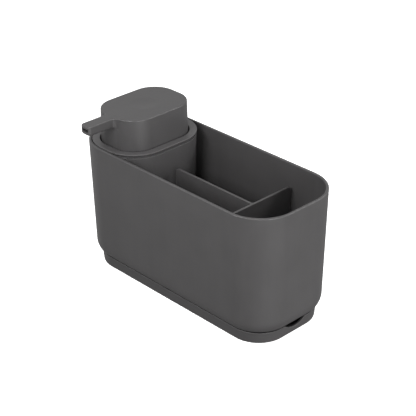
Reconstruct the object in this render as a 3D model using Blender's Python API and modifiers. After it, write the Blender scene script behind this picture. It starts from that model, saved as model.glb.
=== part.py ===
"""Sink organizer: a drip tray, a drafted caddy with a divider, and a soap bottle with a press pump.

The long side runs along X and the front faces -Y. The origin is on the surface that the feet stand
on, under the middle of the caddy. Everything is in metres.
"""
import math
from collections import namedtuple

import bmesh
import bpy
from mathutils import Matrix, Vector

# Caddy body. Heights are measured from the surface that the feet stand on
BODY_LENGTH = 0.2300
BODY_DEPTH = 0.1000
RIM_HEIGHT = 0.1225
BODY_CORNER_RADIUS = 0.0349
BODY_WALL = 0.0026
BODY_DRAFT_SLOPE = 0.0245
BASE_FILLET_RADIUS = 0.0164
BASE_FILLET_HEIGHT = 0.0236
RIM_ROUND = 0.0009

# Drip tray
TRAY_HEIGHT = 0.0118
TRAY_INSET = 0.0071
TRAY_WALL = 0.0020
TRAY_DRAFT_SLOPE = 0.09
TRAY_EDGE_ROUND = 0.0011
TRAY_RIM_ROUND = 0.0005
SEAM_GAP = 0.0017
NOTCH_WIDTH = 0.0240
NOTCH_DEPTH = 0.0042

# Feet, their pockets, and the posts on the tray that the body stands on
FOOT_RADIUS = 0.0065
FOOT_PROUD = 0.0008
FOOT_POCKET = 0.0018
FOOT_EDGE_DISTANCE = 0.0130
FOOT_ROUND = 0.0004
POCKET_WALL = 0.0017
POCKET_ROOF = 0.0020
POST_RADIUS = 0.0045
POST_SOCKET_DEPTH = 0.0010

# Drain slots in the body's floor
SLOT_LENGTH = 0.0200
SLOT_WIDTH = 0.0030
SLOT_PITCH = 0.0280

# Divider, and the low ribs on the floor that keep it and the bottle in place
DIVIDER_THICKNESS = 0.0022
DIVIDER_DROP = 0.0197
DIVIDER_CORNER_RADIUS = 0.0045
DIVIDER_FOOT_RADIUS = 0.0120
DIVIDER_END_CLEARANCE = 0.0012
DIVIDER_ROUND = 0.0004
CROSS_WALL_X = 0.0573
LONG_WALL_GAP = 0.0040
RIB_THICKNESS = 0.0020
RIB_HEIGHT = 0.0040
RIB_LENGTH = 0.0180
RIB_CLEARANCE = 0.0004

# Soap bottle
BOTTLE_LENGTH = 0.0724
BOTTLE_CLEARANCE = 0.0005
BOTTLE_WALL = 0.0020
BOTTLE_BASE_ROUND = 0.0120
BOTTLE_RIM_ROUND = 0.0005

# Lid, its plug and its gasket
LID_PROUD = 0.0003
LID_THICKNESS = 0.0018
LID_OVERHANG = 0.0004
LID_ROUND = 0.0005
PLUG_CLEARANCE = 0.0018
PLUG_LIP = 0.0012
PLUG_LENGTH = 0.0085
LID_GASKET_HEIGHT = 0.0040

# Press head and spout
HEAD_MARGIN = 0.0083
HEAD_RISE = 0.0282
HEAD_CORNER_RADIUS = 0.0217
HEAD_DRAFT_SLOPE = 0.0200
HEAD_WALL = 0.0020
HEAD_ROUND = 0.0009
HEAD_CLEARANCE = 0.0007
SKIRT_DROP = 0.0060
PRESS_TRAVEL = 0.0100
PRESS_CLEARANCE = 0.0008
SPOUT_LENGTH = 0.0289
SPOUT_WIDTH = 0.0115
SPOUT_ROOT_THICKNESS = 0.0100
SPOUT_TIP_THICKNESS = 0.0090
SPOUT_ROOT_OVERLAP = 0.0057
SPOUT_UNDER_ROUND = 0.0026
SPOUT_TOP_ROUND = 0.0007
OUTLET_WIDTH = 0.0065
OUTLET_HEIGHT = 0.0020
OUTLET_DEPTH = 0.0040
SPOUT_BORE_RADIUS = 0.0018

# Soap channel inside the head
STEM_SOCKET_WALL = 0.0019
STEM_SOCKET_CLEARANCE = 0.0015
CHANNEL_RADIUS = 0.0025
CHANNEL_WALL = 0.0008
CHANNEL_PLUG_LENGTH = 0.0110
CHANNEL_WEB = 0.0005

# Pump
NECK_HEIGHT = 0.0075
NECK_WALL = 0.0034
COLLAR_WALL = 0.0026
COLLAR_ROOF = 0.0014
COLLAR_ROUND = 0.0006
COLLAR_FOOT_GAP = 0.0010
NECK_GASKET_THICKNESS = 0.0008
CYLINDER_RADIUS = 0.0073
CYLINDER_WALL = 0.0015
CYLINDER_FLANGE = 0.0014
BALL_CAGE_RADIUS = 0.0032
BALL_CAGE_DEPTH = 0.0060
BALL_SEAT_DEPTH = 0.0020
INLET_RADIUS = 0.0017
SEAT_WEB = 0.0010
SOCKET_WALL = 0.0016
TUBE_SOCKET_DEPTH = 0.0100
GUIDE_FLANGE = 0.0012
GUIDE_FLANGE_OVERLAP = 0.0017
GUIDE_SLEEVE_LENGTH = 0.0080
STEM_RADIUS = 0.0033
STEM_WALL = 0.0014
PISTON_LENGTH = 0.0080
PISTON_WAIST = 0.0006
PISTON_LIP = 0.0015
ROD_FLANGE = 0.0015
ROD_CLEARANCE = 0.0008
ROD_LENGTH = 0.0085
ROD_BOSS_LENGTH = 0.0018
SPRING_WIRE_RADIUS = 0.00045
SPRING_PRESSED_PITCH = 0.0015
SPRING_TURNS = 7
BALL_CLEARANCE = 0.0007
DIP_TUBE_RADIUS = 0.00315
DIP_TUBE_WALL = 0.0010
DIP_TUBE_FLOOR_GAP = 0.0030

# Fits, cuts, facets and units shared by all pieces
SEAT_GAP = 0.0003
CUT_OVERRUN = 0.0010
MERGE_DISTANCE = 0.00001
CORNER_STEPS = 9
FILLET_STEPS = 5
TURN_STEPS = 32
FINE_TURN_STEPS = 20
NOTCH_STEPS = 96
SPRING_POINTS_PER_TURN = 10
BEVEL_SEGMENTS = 2
EDGE_ANGLE = math.radians(50)
SHARP_ANGLE = math.radians(40)
MM_PER_METRE = 1000

# Heights and places worked out from the sizes above
body_underside = TRAY_HEIGHT + SEAM_GAP
body_floor = body_underside + BODY_WALL
boss_top = FOOT_POCKET + POCKET_ROOF
post_top = body_underside + POST_SOCKET_DEPTH - SEAT_GAP
bottle_inset = BODY_WALL + BOTTLE_CLEARANCE
bottle_x = BOTTLE_LENGTH / 2 + bottle_inset - BODY_LENGTH / 2
bottle_base = body_floor + SEAT_GAP
lid_top = RIM_HEIGHT + LID_PROUD
bottle_top = lid_top - LID_THICKNESS - SEAT_GAP
head_bottom = lid_top - SKIRT_DROP
head_top = lid_top + HEAD_RISE
well_floor = head_bottom - PRESS_TRAVEL - PRESS_CLEARANCE
pump_seat = well_floor + NECK_HEIGHT
divider_top = RIM_HEIGHT - DIVIDER_DROP

# Heights of the pump's pieces above the neck's top face, where the pump is seated
cylinder_flange_low = SEAT_GAP + NECK_GASKET_THICKNESS + SEAT_GAP
cylinder_flange_top = cylinder_flange_low + CYLINDER_FLANGE
guide_flange_low = cylinder_flange_top + SEAT_GAP
guide_flange_top = guide_flange_low + GUIDE_FLANGE
collar_roof_low = guide_flange_top + SEAT_GAP
collar_top = collar_roof_low + COLLAR_ROOF
sleeve_low = guide_flange_low - GUIDE_SLEEVE_LENGTH
piston_top = sleeve_low - SEAT_GAP
piston_low = piston_top - PISTON_LENGTH
rod_flange_top = piston_low - SEAT_GAP
rod_flange_low = rod_flange_top - ROD_FLANGE
spring_top = rod_flange_low - SEAT_GAP
spring_pressed = SPRING_TURNS * SPRING_PRESSED_PITCH + 2 * SPRING_WIRE_RADIUS
spring_low = spring_top - PRESS_TRAVEL - spring_pressed
spring_shoulder = spring_low - SEAT_GAP
cage_low = spring_shoulder - BALL_CAGE_DEPTH
seat_low = cage_low - BALL_SEAT_DEPTH
tube_ledge = seat_low - SEAT_WEB
tube_socket_low = tube_ledge - TUBE_SOCKET_DEPTH
socket_low = collar_top + PRESS_TRAVEL + STEM_SOCKET_CLEARANCE
socket_top = head_top - HEAD_WALL - SEAT_GAP - pump_seat
channel_height = socket_top - CHANNEL_RADIUS
channel_bore = CHANNEL_RADIUS - CHANNEL_WALL
stem_top = channel_height - channel_bore - CHANNEL_WEB

# Radii of the pump's pieces, each from the piece that it fits
cylinder_bore = CYLINDER_RADIUS - CYLINDER_WALL
neck_bore = CYLINDER_RADIUS + SEAT_GAP
neck_radius = neck_bore + NECK_WALL
collar_bore = neck_radius + SEAT_GAP
guide_flange_radius = CYLINDER_RADIUS + GUIDE_FLANGE_OVERLAP
stem_bore = STEM_RADIUS - STEM_WALL
stem_clear = STEM_RADIUS + SEAT_GAP
spring_radius = (BALL_CAGE_RADIUS + cylinder_bore) / 2
tube_clear = DIP_TUBE_RADIUS + SEAT_GAP

Plan = namedtuple("Plan", "half_x half_y radius")


def rounded_plan(half_x, half_y, radius):
    """Plan of a rounded rectangle. Its corners leave a short straight stretch on each side."""
    return Plan(half_x, half_y, min(radius, half_x - SEAT_GAP, half_y - SEAT_GAP))


head_shrink = HEAD_MARGIN + HEAD_DRAFT_SLOPE * HEAD_RISE
BODY_PLAN = rounded_plan(BODY_LENGTH / 2, BODY_DEPTH / 2, BODY_CORNER_RADIUS)
BOTTLE_PLAN = rounded_plan(BOTTLE_LENGTH / 2, BODY_PLAN.half_y - bottle_inset,
                           BODY_PLAN.radius - bottle_inset)
HEAD_PLAN = rounded_plan(BOTTLE_PLAN.half_x - head_shrink, BOTTLE_PLAN.half_y - head_shrink,
                         HEAD_CORNER_RADIUS)
spout_root_y = HEAD_WALL + SPOUT_ROOT_OVERLAP - HEAD_PLAN.half_y
spout_tip_y = -HEAD_PLAN.half_y - SPOUT_LENGTH


# Scene, materials and placing
def clear_scene():
    for old in list(bpy.data.objects):
        bpy.data.objects.remove(old, do_unlink=True)


def new_collection(name):
    collection = bpy.data.collections.new(name)
    bpy.context.scene.collection.children.link(collection)
    return collection


def moulding_material(name, colour, roughness, metallic=0.0):
    material = bpy.data.materials.new(name)
    material.use_nodes = True
    shader = material.node_tree.nodes["Principled BSDF"]
    shader.inputs["Base Color"].default_value = (*colour, 1.0)
    shader.inputs["Roughness"].default_value = roughness
    shader.inputs["Metallic"].default_value = metallic
    return material


def new_object(name, data, collection):
    item = bpy.data.objects.new(name, data)
    collection.objects.link(item)
    return item


def new_empty(name, parent, location):
    """An empty at a world place; the pieces that move with it are its children."""
    empty = new_object(name, None, parts)
    attach(empty, parent, location)
    return empty


def attach(item, parent, location):
    """Parent an item and put it at a world place. No parent here is turned or scaled."""
    offset = Vector(location)
    item.parent = parent
    while parent:
        offset -= parent.location
        parent = parent.parent
    item.location = offset


def smooth(mesh):
    mesh.shade_smooth()
    mesh.set_sharp_from_angle(angle=SHARP_ANGLE)


def make_cutter(item):
    item.hide_render = True
    item.display_type = "WIRE"


# Shapes
def outline(plan, inset, height):
    """Rounded rectangle of a plan, drawn in by the inset, anticlockwise from +X."""
    radius = plan.radius - inset
    points = []
    for quarter, (side_x, side_y) in enumerate(((1, 1), (-1, 1), (-1, -1), (1, -1))):
        centre_x = side_x * (plan.half_x - plan.radius)
        centre_y = side_y * (plan.half_y - plan.radius)
        for step in range(CORNER_STEPS + 1):
            angle = math.pi / 2 * (quarter + step / CORNER_STEPS)
            x = centre_x + radius * math.cos(angle)
            y = centre_y + radius * math.sin(angle)
            points.append((x, y, height))
    return points


def add_loop(bm, points):
    verts = [bm.verts.new(point) for point in points]
    return verts, [bm.edges.new(pair) for pair in zip(verts, verts[1:] + verts[:1])]


def draw_levels(bm, levels):
    """Outline of the first (plan, inset, height), extruded to each next one. Gives the last edges."""
    verts, edges = add_loop(bm, outline(*levels[0]))
    for level in levels[1:]:
        targets = {tuple(vert.co): point for vert, point in zip(verts, outline(*level))}
        extruded = bmesh.ops.extrude_edge_only(bm, edges=edges)["geom"]
        edges = [element for element in extruded if isinstance(element, bmesh.types.BMEdge)]
        moved = {}
        for vert in (element for element in extruded if isinstance(element, bmesh.types.BMVert)):
            point = targets[tuple(vert.co)]
            vert.co = point
            moved[point] = vert
        verts = [moved[point] for point in outline(*level)]
    return edges


def mesh_object(name, bm, collection):
    mesh = bpy.data.meshes.new(name)
    bm.to_mesh(mesh)
    bm.free()
    smooth(mesh)
    return new_object(name, mesh, collection)


def shell(name, levels, wall, faces_up, collection=None):
    """Open surface through the levels, closed at the last one, and given a wall on its inner side.

    faces_up says that the closed end looks up, as on a cap. The wall is put behind the surface.
    """
    bm = bmesh.new()
    edges = draw_levels(bm, levels)
    cap = bmesh.ops.edgeloop_fill(bm, edges=edges)["faces"][0]
    bmesh.ops.recalc_face_normals(bm, faces=bm.faces[:])
    cap.normal_update()
    if (cap.normal.z > 0) != faces_up:
        bmesh.ops.reverse_faces(bm, faces=bm.faces[:])
    item = mesh_object(name, bm, collection or parts)
    solid = item.modifiers.new("wall", "SOLIDIFY")
    solid.thickness = wall
    solid.offset = -1.0
    solid.use_even_offset = True
    return item


def band(name, levels, collection=None):
    """Closed ring: the levels go round a section and come back to the first one, welded there."""
    bm = bmesh.new()
    draw_levels(bm, levels + levels[:1])
    bmesh.ops.remove_doubles(bm, verts=bm.verts[:], dist=MERGE_DISTANCE)
    bmesh.ops.recalc_face_normals(bm, faces=bm.faces[:])
    return mesh_object(name, bm, collection or parts)


def turned(name, profile, steps=TURN_STEPS, collection=None):
    """Turn a closed (radius, height) profile about Z. It runs down its outer side first."""
    points = [(radius, 0, height) for radius, height in profile]
    count = len(points)
    on_axis = profile[0][0] == 0 and profile[-1][0] == 0
    edges = [(i, (i + 1) % count) for i in range(count - 1 if on_axis else count)]
    mesh = bpy.data.meshes.new(name)
    mesh.from_pydata(points, edges, [])
    item = new_object(name, mesh, collection or parts)
    screw = item.modifiers.new("turn", "SCREW")
    screw.steps = steps
    screw.render_steps = steps
    screw.use_merge_vertices = True
    screw.merge_threshold = MERGE_DISTANCE
    return item


def tube_profile(outer, inner, low, high):
    return [(outer, high), (outer, low), (inner, low), (inner, high)]


def rod_tool(name, radius, start, end, segments=FINE_TURN_STEPS):
    """Cylinder between two points, for cutting or joining."""
    start, end = Vector(start), Vector(end)
    bm = bmesh.new()
    bmesh.ops.create_cone(bm, cap_ends=True, segments=segments, radius1=radius, radius2=radius,
                          depth=(end - start).length)
    turn = Vector((0, 0, 1)).rotation_difference(end - start)
    place = Matrix.Translation((start + end) / 2) @ turn.to_matrix().to_4x4()
    bmesh.ops.transform(bm, matrix=place, verts=bm.verts[:])
    item = mesh_object(name, bm, cutters)
    make_cutter(item)
    return item


def box_tool(name, low, high):
    """Box between two corners, for cutting or joining."""
    low, high = Vector(low), Vector(high)
    bm = bmesh.new()
    bmesh.ops.create_cube(bm, size=1.0)
    place = Matrix.Translation((low + high) / 2) @ Matrix.Diagonal((*(high - low), 1.0))
    bmesh.ops.transform(bm, matrix=place, verts=bm.verts[:])
    item = mesh_object(name, bm, cutters)
    make_cutter(item)
    return item


def slot_tool(name, centre_x, centre_y, low, high):
    """Round-ended drain slot, as long as the slot length along X."""
    half = SLOT_WIDTH / 2
    straight = SLOT_LENGTH / 2 - half
    points = []
    for end in (1, -1):
        for step in range(FILLET_STEPS + 1):
            angle = math.pi * (step / FILLET_STEPS - 0.5)
            x = centre_x + end * (straight + half * math.cos(angle))
            points.append((x, centre_y + end * half * math.sin(angle), low))
    bm = bmesh.new()
    edges = add_loop(bm, points)[1]
    face = bmesh.ops.edgeloop_fill(bm, edges=edges)["faces"][0]
    sides = bmesh.ops.extrude_face_region(bm, geom=[face])["geom"]
    top = [element for element in sides if isinstance(element, bmesh.types.BMVert)]
    bmesh.ops.translate(bm, verts=top, vec=(0, 0, high - low))
    bmesh.ops.recalc_face_normals(bm, faces=bm.faces[:])
    item = mesh_object(name, bm, cutters)
    make_cutter(item)
    return item


def round_edges(item, width):
    bevel = item.modifiers.new("rounding", "BEVEL")
    bevel.width = width
    bevel.segments = BEVEL_SEGMENTS
    bevel.limit_method = "ANGLE"
    bevel.angle_limit = EDGE_ANGLE


def combine(item, tool, operation):
    """Boolean that stays live. The tool takes the item's place, so that both share local places."""
    tool.parent = item.parent
    tool.location = item.location
    boolean = item.modifiers.new(f"{operation.lower()} {tool.name}", "BOOLEAN")
    boolean.operation = operation
    boolean.solver = "EXACT"
    boolean.object = tool


def cut(item, tool):
    combine(item, tool, "DIFFERENCE")


def join(item, tool):
    combine(item, tool, "UNION")


def finish(item, material):
    item.data.materials.append(material)


# Drip tray and feet
def foot_places():
    """Centres of the feet, inside each of the tray's corners."""
    reach = (BODY_PLAN.radius - TRAY_INSET - FOOT_EDGE_DISTANCE) * math.sqrt(0.5)
    x = BODY_PLAN.half_x - BODY_PLAN.radius + reach
    y = BODY_PLAN.half_y - BODY_PLAN.radius + reach
    return {
        "front_left": (-x, -y), "front_right": (x, -y),
        "back_left": (-x, y), "back_right": (x, y),
    }


def tray_levels():
    """Outer side of the tray from its top edge to its rounded foot."""
    height = TRAY_HEIGHT - FOOT_PROUD
    levels = [(BODY_PLAN, TRAY_INSET, height)]
    lean = TRAY_INSET + TRAY_DRAFT_SLOPE * (height - TRAY_EDGE_ROUND)
    for step in range(FILLET_STEPS):
        angle = math.pi / 2 * step / (FILLET_STEPS - 1)
        inset = lean + TRAY_EDGE_ROUND * (1 - math.cos(angle))
        levels.append((BODY_PLAN, inset, TRAY_EDGE_ROUND * (1 - math.sin(angle))))
    return levels


def make_tray(frame):
    """The tray's own zero is its underside. Over each foot's pocket are a boss and a post."""
    tray = shell("drip_tray", tray_levels(), TRAY_WALL, faces_up=False)
    attach(tray, frame, (0, 0, FOOT_PROUD))
    round_edges(tray, TRAY_RIM_ROUND)
    for spot, (x, y) in foot_places().items():
        boss = rod_tool(f"tray_boss_{spot}", FOOT_RADIUS + SEAT_GAP + POCKET_WALL,
                        (x, y, TRAY_WALL / 2), (x, y, boss_top))
        join(tray, boss)
        post = rod_tool(f"tray_post_{spot}", POST_RADIUS, (x, y, boss_top - POCKET_ROOF / 2),
                        (x, y, post_top - FOOT_PROUD))
        join(tray, post)
        pocket = rod_tool(f"foot_pocket_{spot}", FOOT_RADIUS + SEAT_GAP, (x, y, -CUT_OVERRUN),
                          (x, y, FOOT_POCKET))
        cut(tray, pocket)
    # A shallow round scoop in the right end: the chord is the notch's width
    height = TRAY_HEIGHT - FOOT_PROUD
    scoop = ((NOTCH_WIDTH / 2) ** 2 + NOTCH_DEPTH ** 2) / (2 * NOTCH_DEPTH)
    end_x = BODY_PLAN.half_x - TRAY_INSET
    axis_z = height - NOTCH_DEPTH + scoop
    notch = rod_tool("tray_notch", scoop, (end_x - BODY_PLAN.radius, 0, axis_z),
                     (end_x + CUT_OVERRUN, 0, axis_z), segments=NOTCH_STEPS)
    cut(tray, notch)
    finish(tray, moulding_material("tray_grey", (0.098, 0.095, 0.094), 0.48))


def make_feet(frame):
    thickness = FOOT_PROUD + FOOT_POCKET - SEAT_GAP
    rubber = moulding_material("foot_rubber", (0.03, 0.03, 0.03), 0.8)
    for spot, (x, y) in foot_places().items():
        bm = bmesh.new()
        bmesh.ops.create_cone(bm, cap_ends=True, segments=FINE_TURN_STEPS, radius1=FOOT_RADIUS,
                              radius2=FOOT_RADIUS, depth=thickness)
        foot = mesh_object(f"foot_{spot}", bm, parts)
        attach(foot, frame, (x, y, thickness / 2))
        round_edges(foot, FOOT_ROUND)
        finish(foot, rubber)


# Caddy body
def body_inset(height):
    """How far the drafted outer wall has drawn in from the rim at a height."""
    return BODY_DRAFT_SLOPE * (RIM_HEIGHT - height)


def body_levels():
    """Outer side from the rim down: drafted wall, then the part of the fillet above the tray."""
    start = body_inset(BASE_FILLET_HEIGHT)
    drop_share = (BASE_FILLET_HEIGHT - body_underside) / BASE_FILLET_RADIUS
    sweep = math.asin(min(1.0, drop_share))
    levels = [(BODY_PLAN, 0, RIM_HEIGHT - body_underside)]
    for step in range(FILLET_STEPS + 1):
        angle = sweep * step / FILLET_STEPS
        inset = start + BASE_FILLET_RADIUS * (1 - math.cos(angle))
        height = BASE_FILLET_HEIGHT - BASE_FILLET_RADIUS * math.sin(angle)
        levels.append((BODY_PLAN, inset, height - body_underside))
    return levels


def slot_places():
    """Drain slots: three along each long compartment and one pair in the end compartment."""
    row_y = BODY_DEPTH / 4
    middle_x = (long_wall_start() + CROSS_WALL_X) / 2
    end_x = (CROSS_WALL_X + BODY_LENGTH / 2 - BODY_WALL) / 2
    for side in (-1, 1):
        for column in (-1, 0, 1):
            yield middle_x + column * SLOT_PITCH, side * row_y
        yield end_x, side * row_y / 2


def make_body(frame):
    """The body's own zero is its underside, which has a shallow socket for each of the posts."""
    body = shell("caddy_body", body_levels(), BODY_WALL, faces_up=False)
    attach(body, frame, (0, 0, body_underside))
    round_edges(body, RIM_ROUND)
    for spot, (x, y) in foot_places().items():
        cut(body, rod_tool(f"post_socket_{spot}", POST_RADIUS + SEAT_GAP, (x, y, -CUT_OVERRUN),
                           (x, y, POST_SOCKET_DEPTH)))
    for rib in floor_ribs():
        join(body, rib)
    for index, (x, y) in enumerate(slot_places()):
        cut(body, slot_tool(f"drain_slot_{index}", x, y, -CUT_OVERRUN, BODY_WALL + CUT_OVERRUN))
    finish(body, moulding_material("body_grey", (0.098, 0.095, 0.094), 0.46))


def floor_ribs():
    """One rib across the floor against the bottle, and short ones on each side of the cross wall."""
    low, high = BODY_WALL / 2, BODY_WALL + RIB_HEIGHT
    # The bottle's right side at the rib's top, where its rounded base is
    rise = RIB_HEIGHT - SEAT_GAP
    below_share = max(0.0, 1 - rise / BOTTLE_BASE_ROUND)
    under = BOTTLE_BASE_ROUND * (1 - math.sqrt(1 - below_share ** 2))
    side = bottle_x + BOTTLE_PLAN.half_x - bottle_inset_at(bottle_base + rise)
    stop_x = side - under + RIB_CLEARANCE
    stop_y = BODY_PLAN.half_y - body_inset(body_floor) - BODY_WALL - BASE_FILLET_RADIUS / 2
    yield box_tool("bottle_stop", (stop_x, -stop_y, low), (stop_x + RIB_THICKNESS, stop_y, high))
    reach = DIVIDER_THICKNESS / 2 + RIB_CLEARANCE + RIB_THICKNESS / 2
    for side_x in (-1, 1):
        for side_y in (-1, 1):
            x = CROSS_WALL_X + side_x * reach
            y = side_y * BODY_DEPTH / 4
            yield box_tool(f"cross_rib_{side_x}_{side_y}",
                           (x - RIB_THICKNESS / 2, y - RIB_LENGTH / 2, low),
                           (x + RIB_THICKNESS / 2, y + RIB_LENGTH / 2, high))


# Divider
def arc_points(centre_u, centre_v, radius, start, end):
    """Points of an arc in a flat outline, with angles in quarter turns."""
    points = []
    for step in range(FILLET_STEPS + 1):
        angle = math.pi / 2 * (start + (end - start) * step / FILLET_STEPS)
        points.append((centre_u + radius * math.cos(angle), centre_v + radius * math.sin(angle)))
    return points


def plate(name, points, thickness, collection):
    """Flat outline as a 2D curve, extruded to a thickness and made a welded mesh."""
    curve = bpy.data.curves.new(name, "CURVE")
    curve.dimensions = "2D"
    curve.fill_mode = "BOTH"
    curve.extrude = thickness / 2
    spline = curve.splines.new("POLY")
    spline.points.add(len(points) - 1)
    for point, (u, v) in zip(spline.points, points):
        point.co = (u, v, 0, 1)
    spline.use_cyclic_u = True
    source = new_object(f"{name}_outline", curve, collection)
    depsgraph = bpy.context.evaluated_depsgraph_get()
    mesh = bpy.data.meshes.new_from_object(source.evaluated_get(depsgraph))
    mesh.name = name
    bpy.data.objects.remove(source, do_unlink=True)
    bm = bmesh.new()
    bm.from_mesh(mesh)
    bmesh.ops.remove_doubles(bm, verts=bm.verts[:], dist=MERGE_DISTANCE)
    # The outline was drawn flat, so stand it up with its second axis along Z
    bmesh.ops.rotate(bm, verts=bm.verts[:], matrix=Matrix.Rotation(math.pi / 2, 3, "X"))
    bm.to_mesh(mesh)
    bm.free()
    smooth(mesh)
    return new_object(name, mesh, collection)


def long_wall_start():
    return bottle_x + BOTTLE_LENGTH / 2 + LONG_WALL_GAP


def cross_wall_half(height):
    """Half the cross wall's length at a world height, where it follows the body's drafted wall."""
    return BODY_DEPTH / 2 - body_inset(height) - BODY_WALL - DIVIDER_END_CLEARANCE


def make_divider(frame):
    """T-shaped wall. Its own zero is the foot of the cross wall's middle."""
    height = divider_top - body_floor - SEAT_GAP
    reach = CROSS_WALL_X - long_wall_start()
    corner = DIVIDER_CORNER_RADIUS
    long_points = arc_points(corner - reach, height - corner, corner, 2, 1)
    long_points += [(0, height), (0, 0), (-reach, 0)]
    divider = plate("divider", long_points, DIVIDER_THICKNESS, parts)
    attach(divider, frame, (CROSS_WALL_X, 0, body_floor + SEAT_GAP))
    foot = DIVIDER_FOOT_RADIUS
    low_half = cross_wall_half(BASE_FILLET_HEIGHT)
    top_half = cross_wall_half(divider_top - corner)
    cross_points = arc_points(low_half - foot, foot, foot, -1, 0)
    cross_points += arc_points(top_half - corner, height - corner, corner, 0, 1)
    cross_points += [(-u, v) for u, v in reversed(cross_points)]
    cross = plate("cross_wall", cross_points, DIVIDER_THICKNESS, cutters)
    cross.data.transform(Matrix.Rotation(math.pi / 2, 4, "Z"))
    make_cutter(cross)
    for wall in (divider, cross):
        round_edges(wall, DIVIDER_ROUND)
    join(divider, cross)
    finish(divider, moulding_material("divider_grey", (0.098, 0.095, 0.094), 0.5))


# Soap bottle, lid and gasket
def bottle_inset_at(height):
    """How far the bottle's drafted wall lies inside the lid's edge at a world height."""
    return LID_OVERHANG + BODY_DRAFT_SLOPE * (lid_top - height)


def make_bottle(frame):
    levels = [(BOTTLE_PLAN, bottle_inset_at(bottle_top), bottle_top - bottle_base)]
    start = bottle_inset_at(bottle_base + BOTTLE_BASE_ROUND)
    for step in range(FILLET_STEPS + 1):
        angle = math.pi / 2 * step / FILLET_STEPS
        inset = start + BOTTLE_BASE_ROUND * (1 - math.cos(angle))
        levels.append((BOTTLE_PLAN, inset, BOTTLE_BASE_ROUND * (1 - math.sin(angle))))
    bottle = shell("soap_bottle", levels, BOTTLE_WALL, faces_up=False)
    attach(bottle, frame, (bottle_x, 0, bottle_base))
    round_edges(bottle, BOTTLE_RIM_ROUND)
    finish(bottle, moulding_material("bottle_grey", (0.088, 0.086, 0.085), 0.5))


def head_inset(height):
    """How far the head's side lies inside its top outline, negative because it widens downward."""
    return -HEAD_DRAFT_SLOPE * (head_top - height)


def make_lid(frame):
    """Flat rim, then the well for the head. The plug band and the neck are joined on."""
    well = head_inset(lid_top) - HEAD_CLEARANCE
    levels = [
        (BOTTLE_PLAN, 0, 0),
        (HEAD_PLAN, well, 0),
        (HEAD_PLAN, well, well_floor - lid_top),
    ]
    lid = shell("bottle_lid", levels, LID_THICKNESS, faces_up=True)
    attach(lid, frame, (bottle_x, 0, lid_top))
    round_edges(lid, LID_ROUND)
    plug = bottle_inset_at(bottle_top) + BOTTLE_WALL + PLUG_CLEARANCE
    lip = plug - PLUG_LIP
    inside = well - LID_THICKNESS / 2
    low = -LID_THICKNESS - PLUG_LENGTH
    band_levels = [
        (BOTTLE_PLAN, plug, -LID_THICKNESS / 2),
        (BOTTLE_PLAN, plug, low + PLUG_LIP),
        (BOTTLE_PLAN, lip, low + PLUG_LIP),
        (BOTTLE_PLAN, lip, low),
        (HEAD_PLAN, inside, low),
        (HEAD_PLAN, inside, -LID_THICKNESS / 2),
    ]
    plug_band = band("lid_plug", band_levels, cutters)
    make_cutter(plug_band)
    join(lid, plug_band)
    floor = well_floor - lid_top
    neck = rod_tool("lid_neck", neck_radius, (0, 0, floor - LID_THICKNESS / 2),
                    (0, 0, floor + NECK_HEIGHT), segments=TURN_STEPS)
    join(lid, neck)
    bore = rod_tool("neck_bore", neck_bore, (0, 0, floor - LID_THICKNESS - CUT_OVERRUN),
                    (0, 0, floor + NECK_HEIGHT + CUT_OVERRUN), segments=TURN_STEPS)
    cut(lid, bore)
    finish(lid, moulding_material("lid_grey", (0.100, 0.097, 0.096), 0.46))


def make_lid_gasket(frame):
    """Soft band that sits on the plug's lip, between the plug and the bottle's wall."""
    lip_top = lid_top - LID_THICKNESS - PLUG_LENGTH + PLUG_LIP
    low = lip_top + SEAT_GAP
    outer = bottle_inset_at(low) + BOTTLE_WALL + SEAT_GAP
    inner = bottle_inset_at(bottle_top) + BOTTLE_WALL + PLUG_CLEARANCE - SEAT_GAP
    gasket = band("lid_gasket", [
        (BOTTLE_PLAN, outer, LID_GASKET_HEIGHT),
        (BOTTLE_PLAN, outer, 0),
        (BOTTLE_PLAN, inner, 0),
        (BOTTLE_PLAN, inner, LID_GASKET_HEIGHT),
    ])
    attach(gasket, frame, (bottle_x, 0, low))
    finish(gasket, moulding_material("gasket_silicone", (0.45, 0.45, 0.44), 0.6))


# Press head
def spout_tool():
    """Tapered bar from inside the head's front wall to the tip, with rounded edges."""
    top = head_top - head_bottom
    half = SPOUT_WIDTH / 2
    bm = bmesh.new()
    bmesh.ops.create_cube(bm, size=1.0)
    for vert in bm.verts:
        at_tip = vert.co.y < 0
        thickness = SPOUT_TIP_THICKNESS if at_tip else SPOUT_ROOT_THICKNESS
        vert.co = (
            math.copysign(half, vert.co.x),
            spout_tip_y if at_tip else spout_root_y,
            top if vert.co.z > 0 else top - thickness,
        )
    under, above = [], []
    for edge in bm.edges:
        ends = [vert.co for vert in edge.verts]
        low = max(end.z for end in ends) < top - SPOUT_TOP_ROUND
        high = min(end.z for end in ends) > top - SPOUT_TOP_ROUND
        along = abs(ends[0].y - ends[1].y) > half
        tip = max(end.y for end in ends) < spout_root_y - half
        if (low and (along or tip)) or (tip and not high and not low):
            under.append(edge)
        elif high and (along or tip):
            above.append(edge)
    bmesh.ops.bevel(bm, geom=above, offset=SPOUT_TOP_ROUND, segments=BEVEL_SEGMENTS,
                    profile=0.5, affect="EDGES", clamp_overlap=True)
    under = [edge for edge in under if edge.is_valid]
    bmesh.ops.bevel(bm, geom=under, offset=SPOUT_UNDER_ROUND, segments=BEVEL_SEGMENTS + 1,
                    profile=0.5, affect="EDGES", clamp_overlap=True)
    spout = mesh_object("spout_bar", bm, cutters)
    make_cutter(spout)
    return spout


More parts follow.
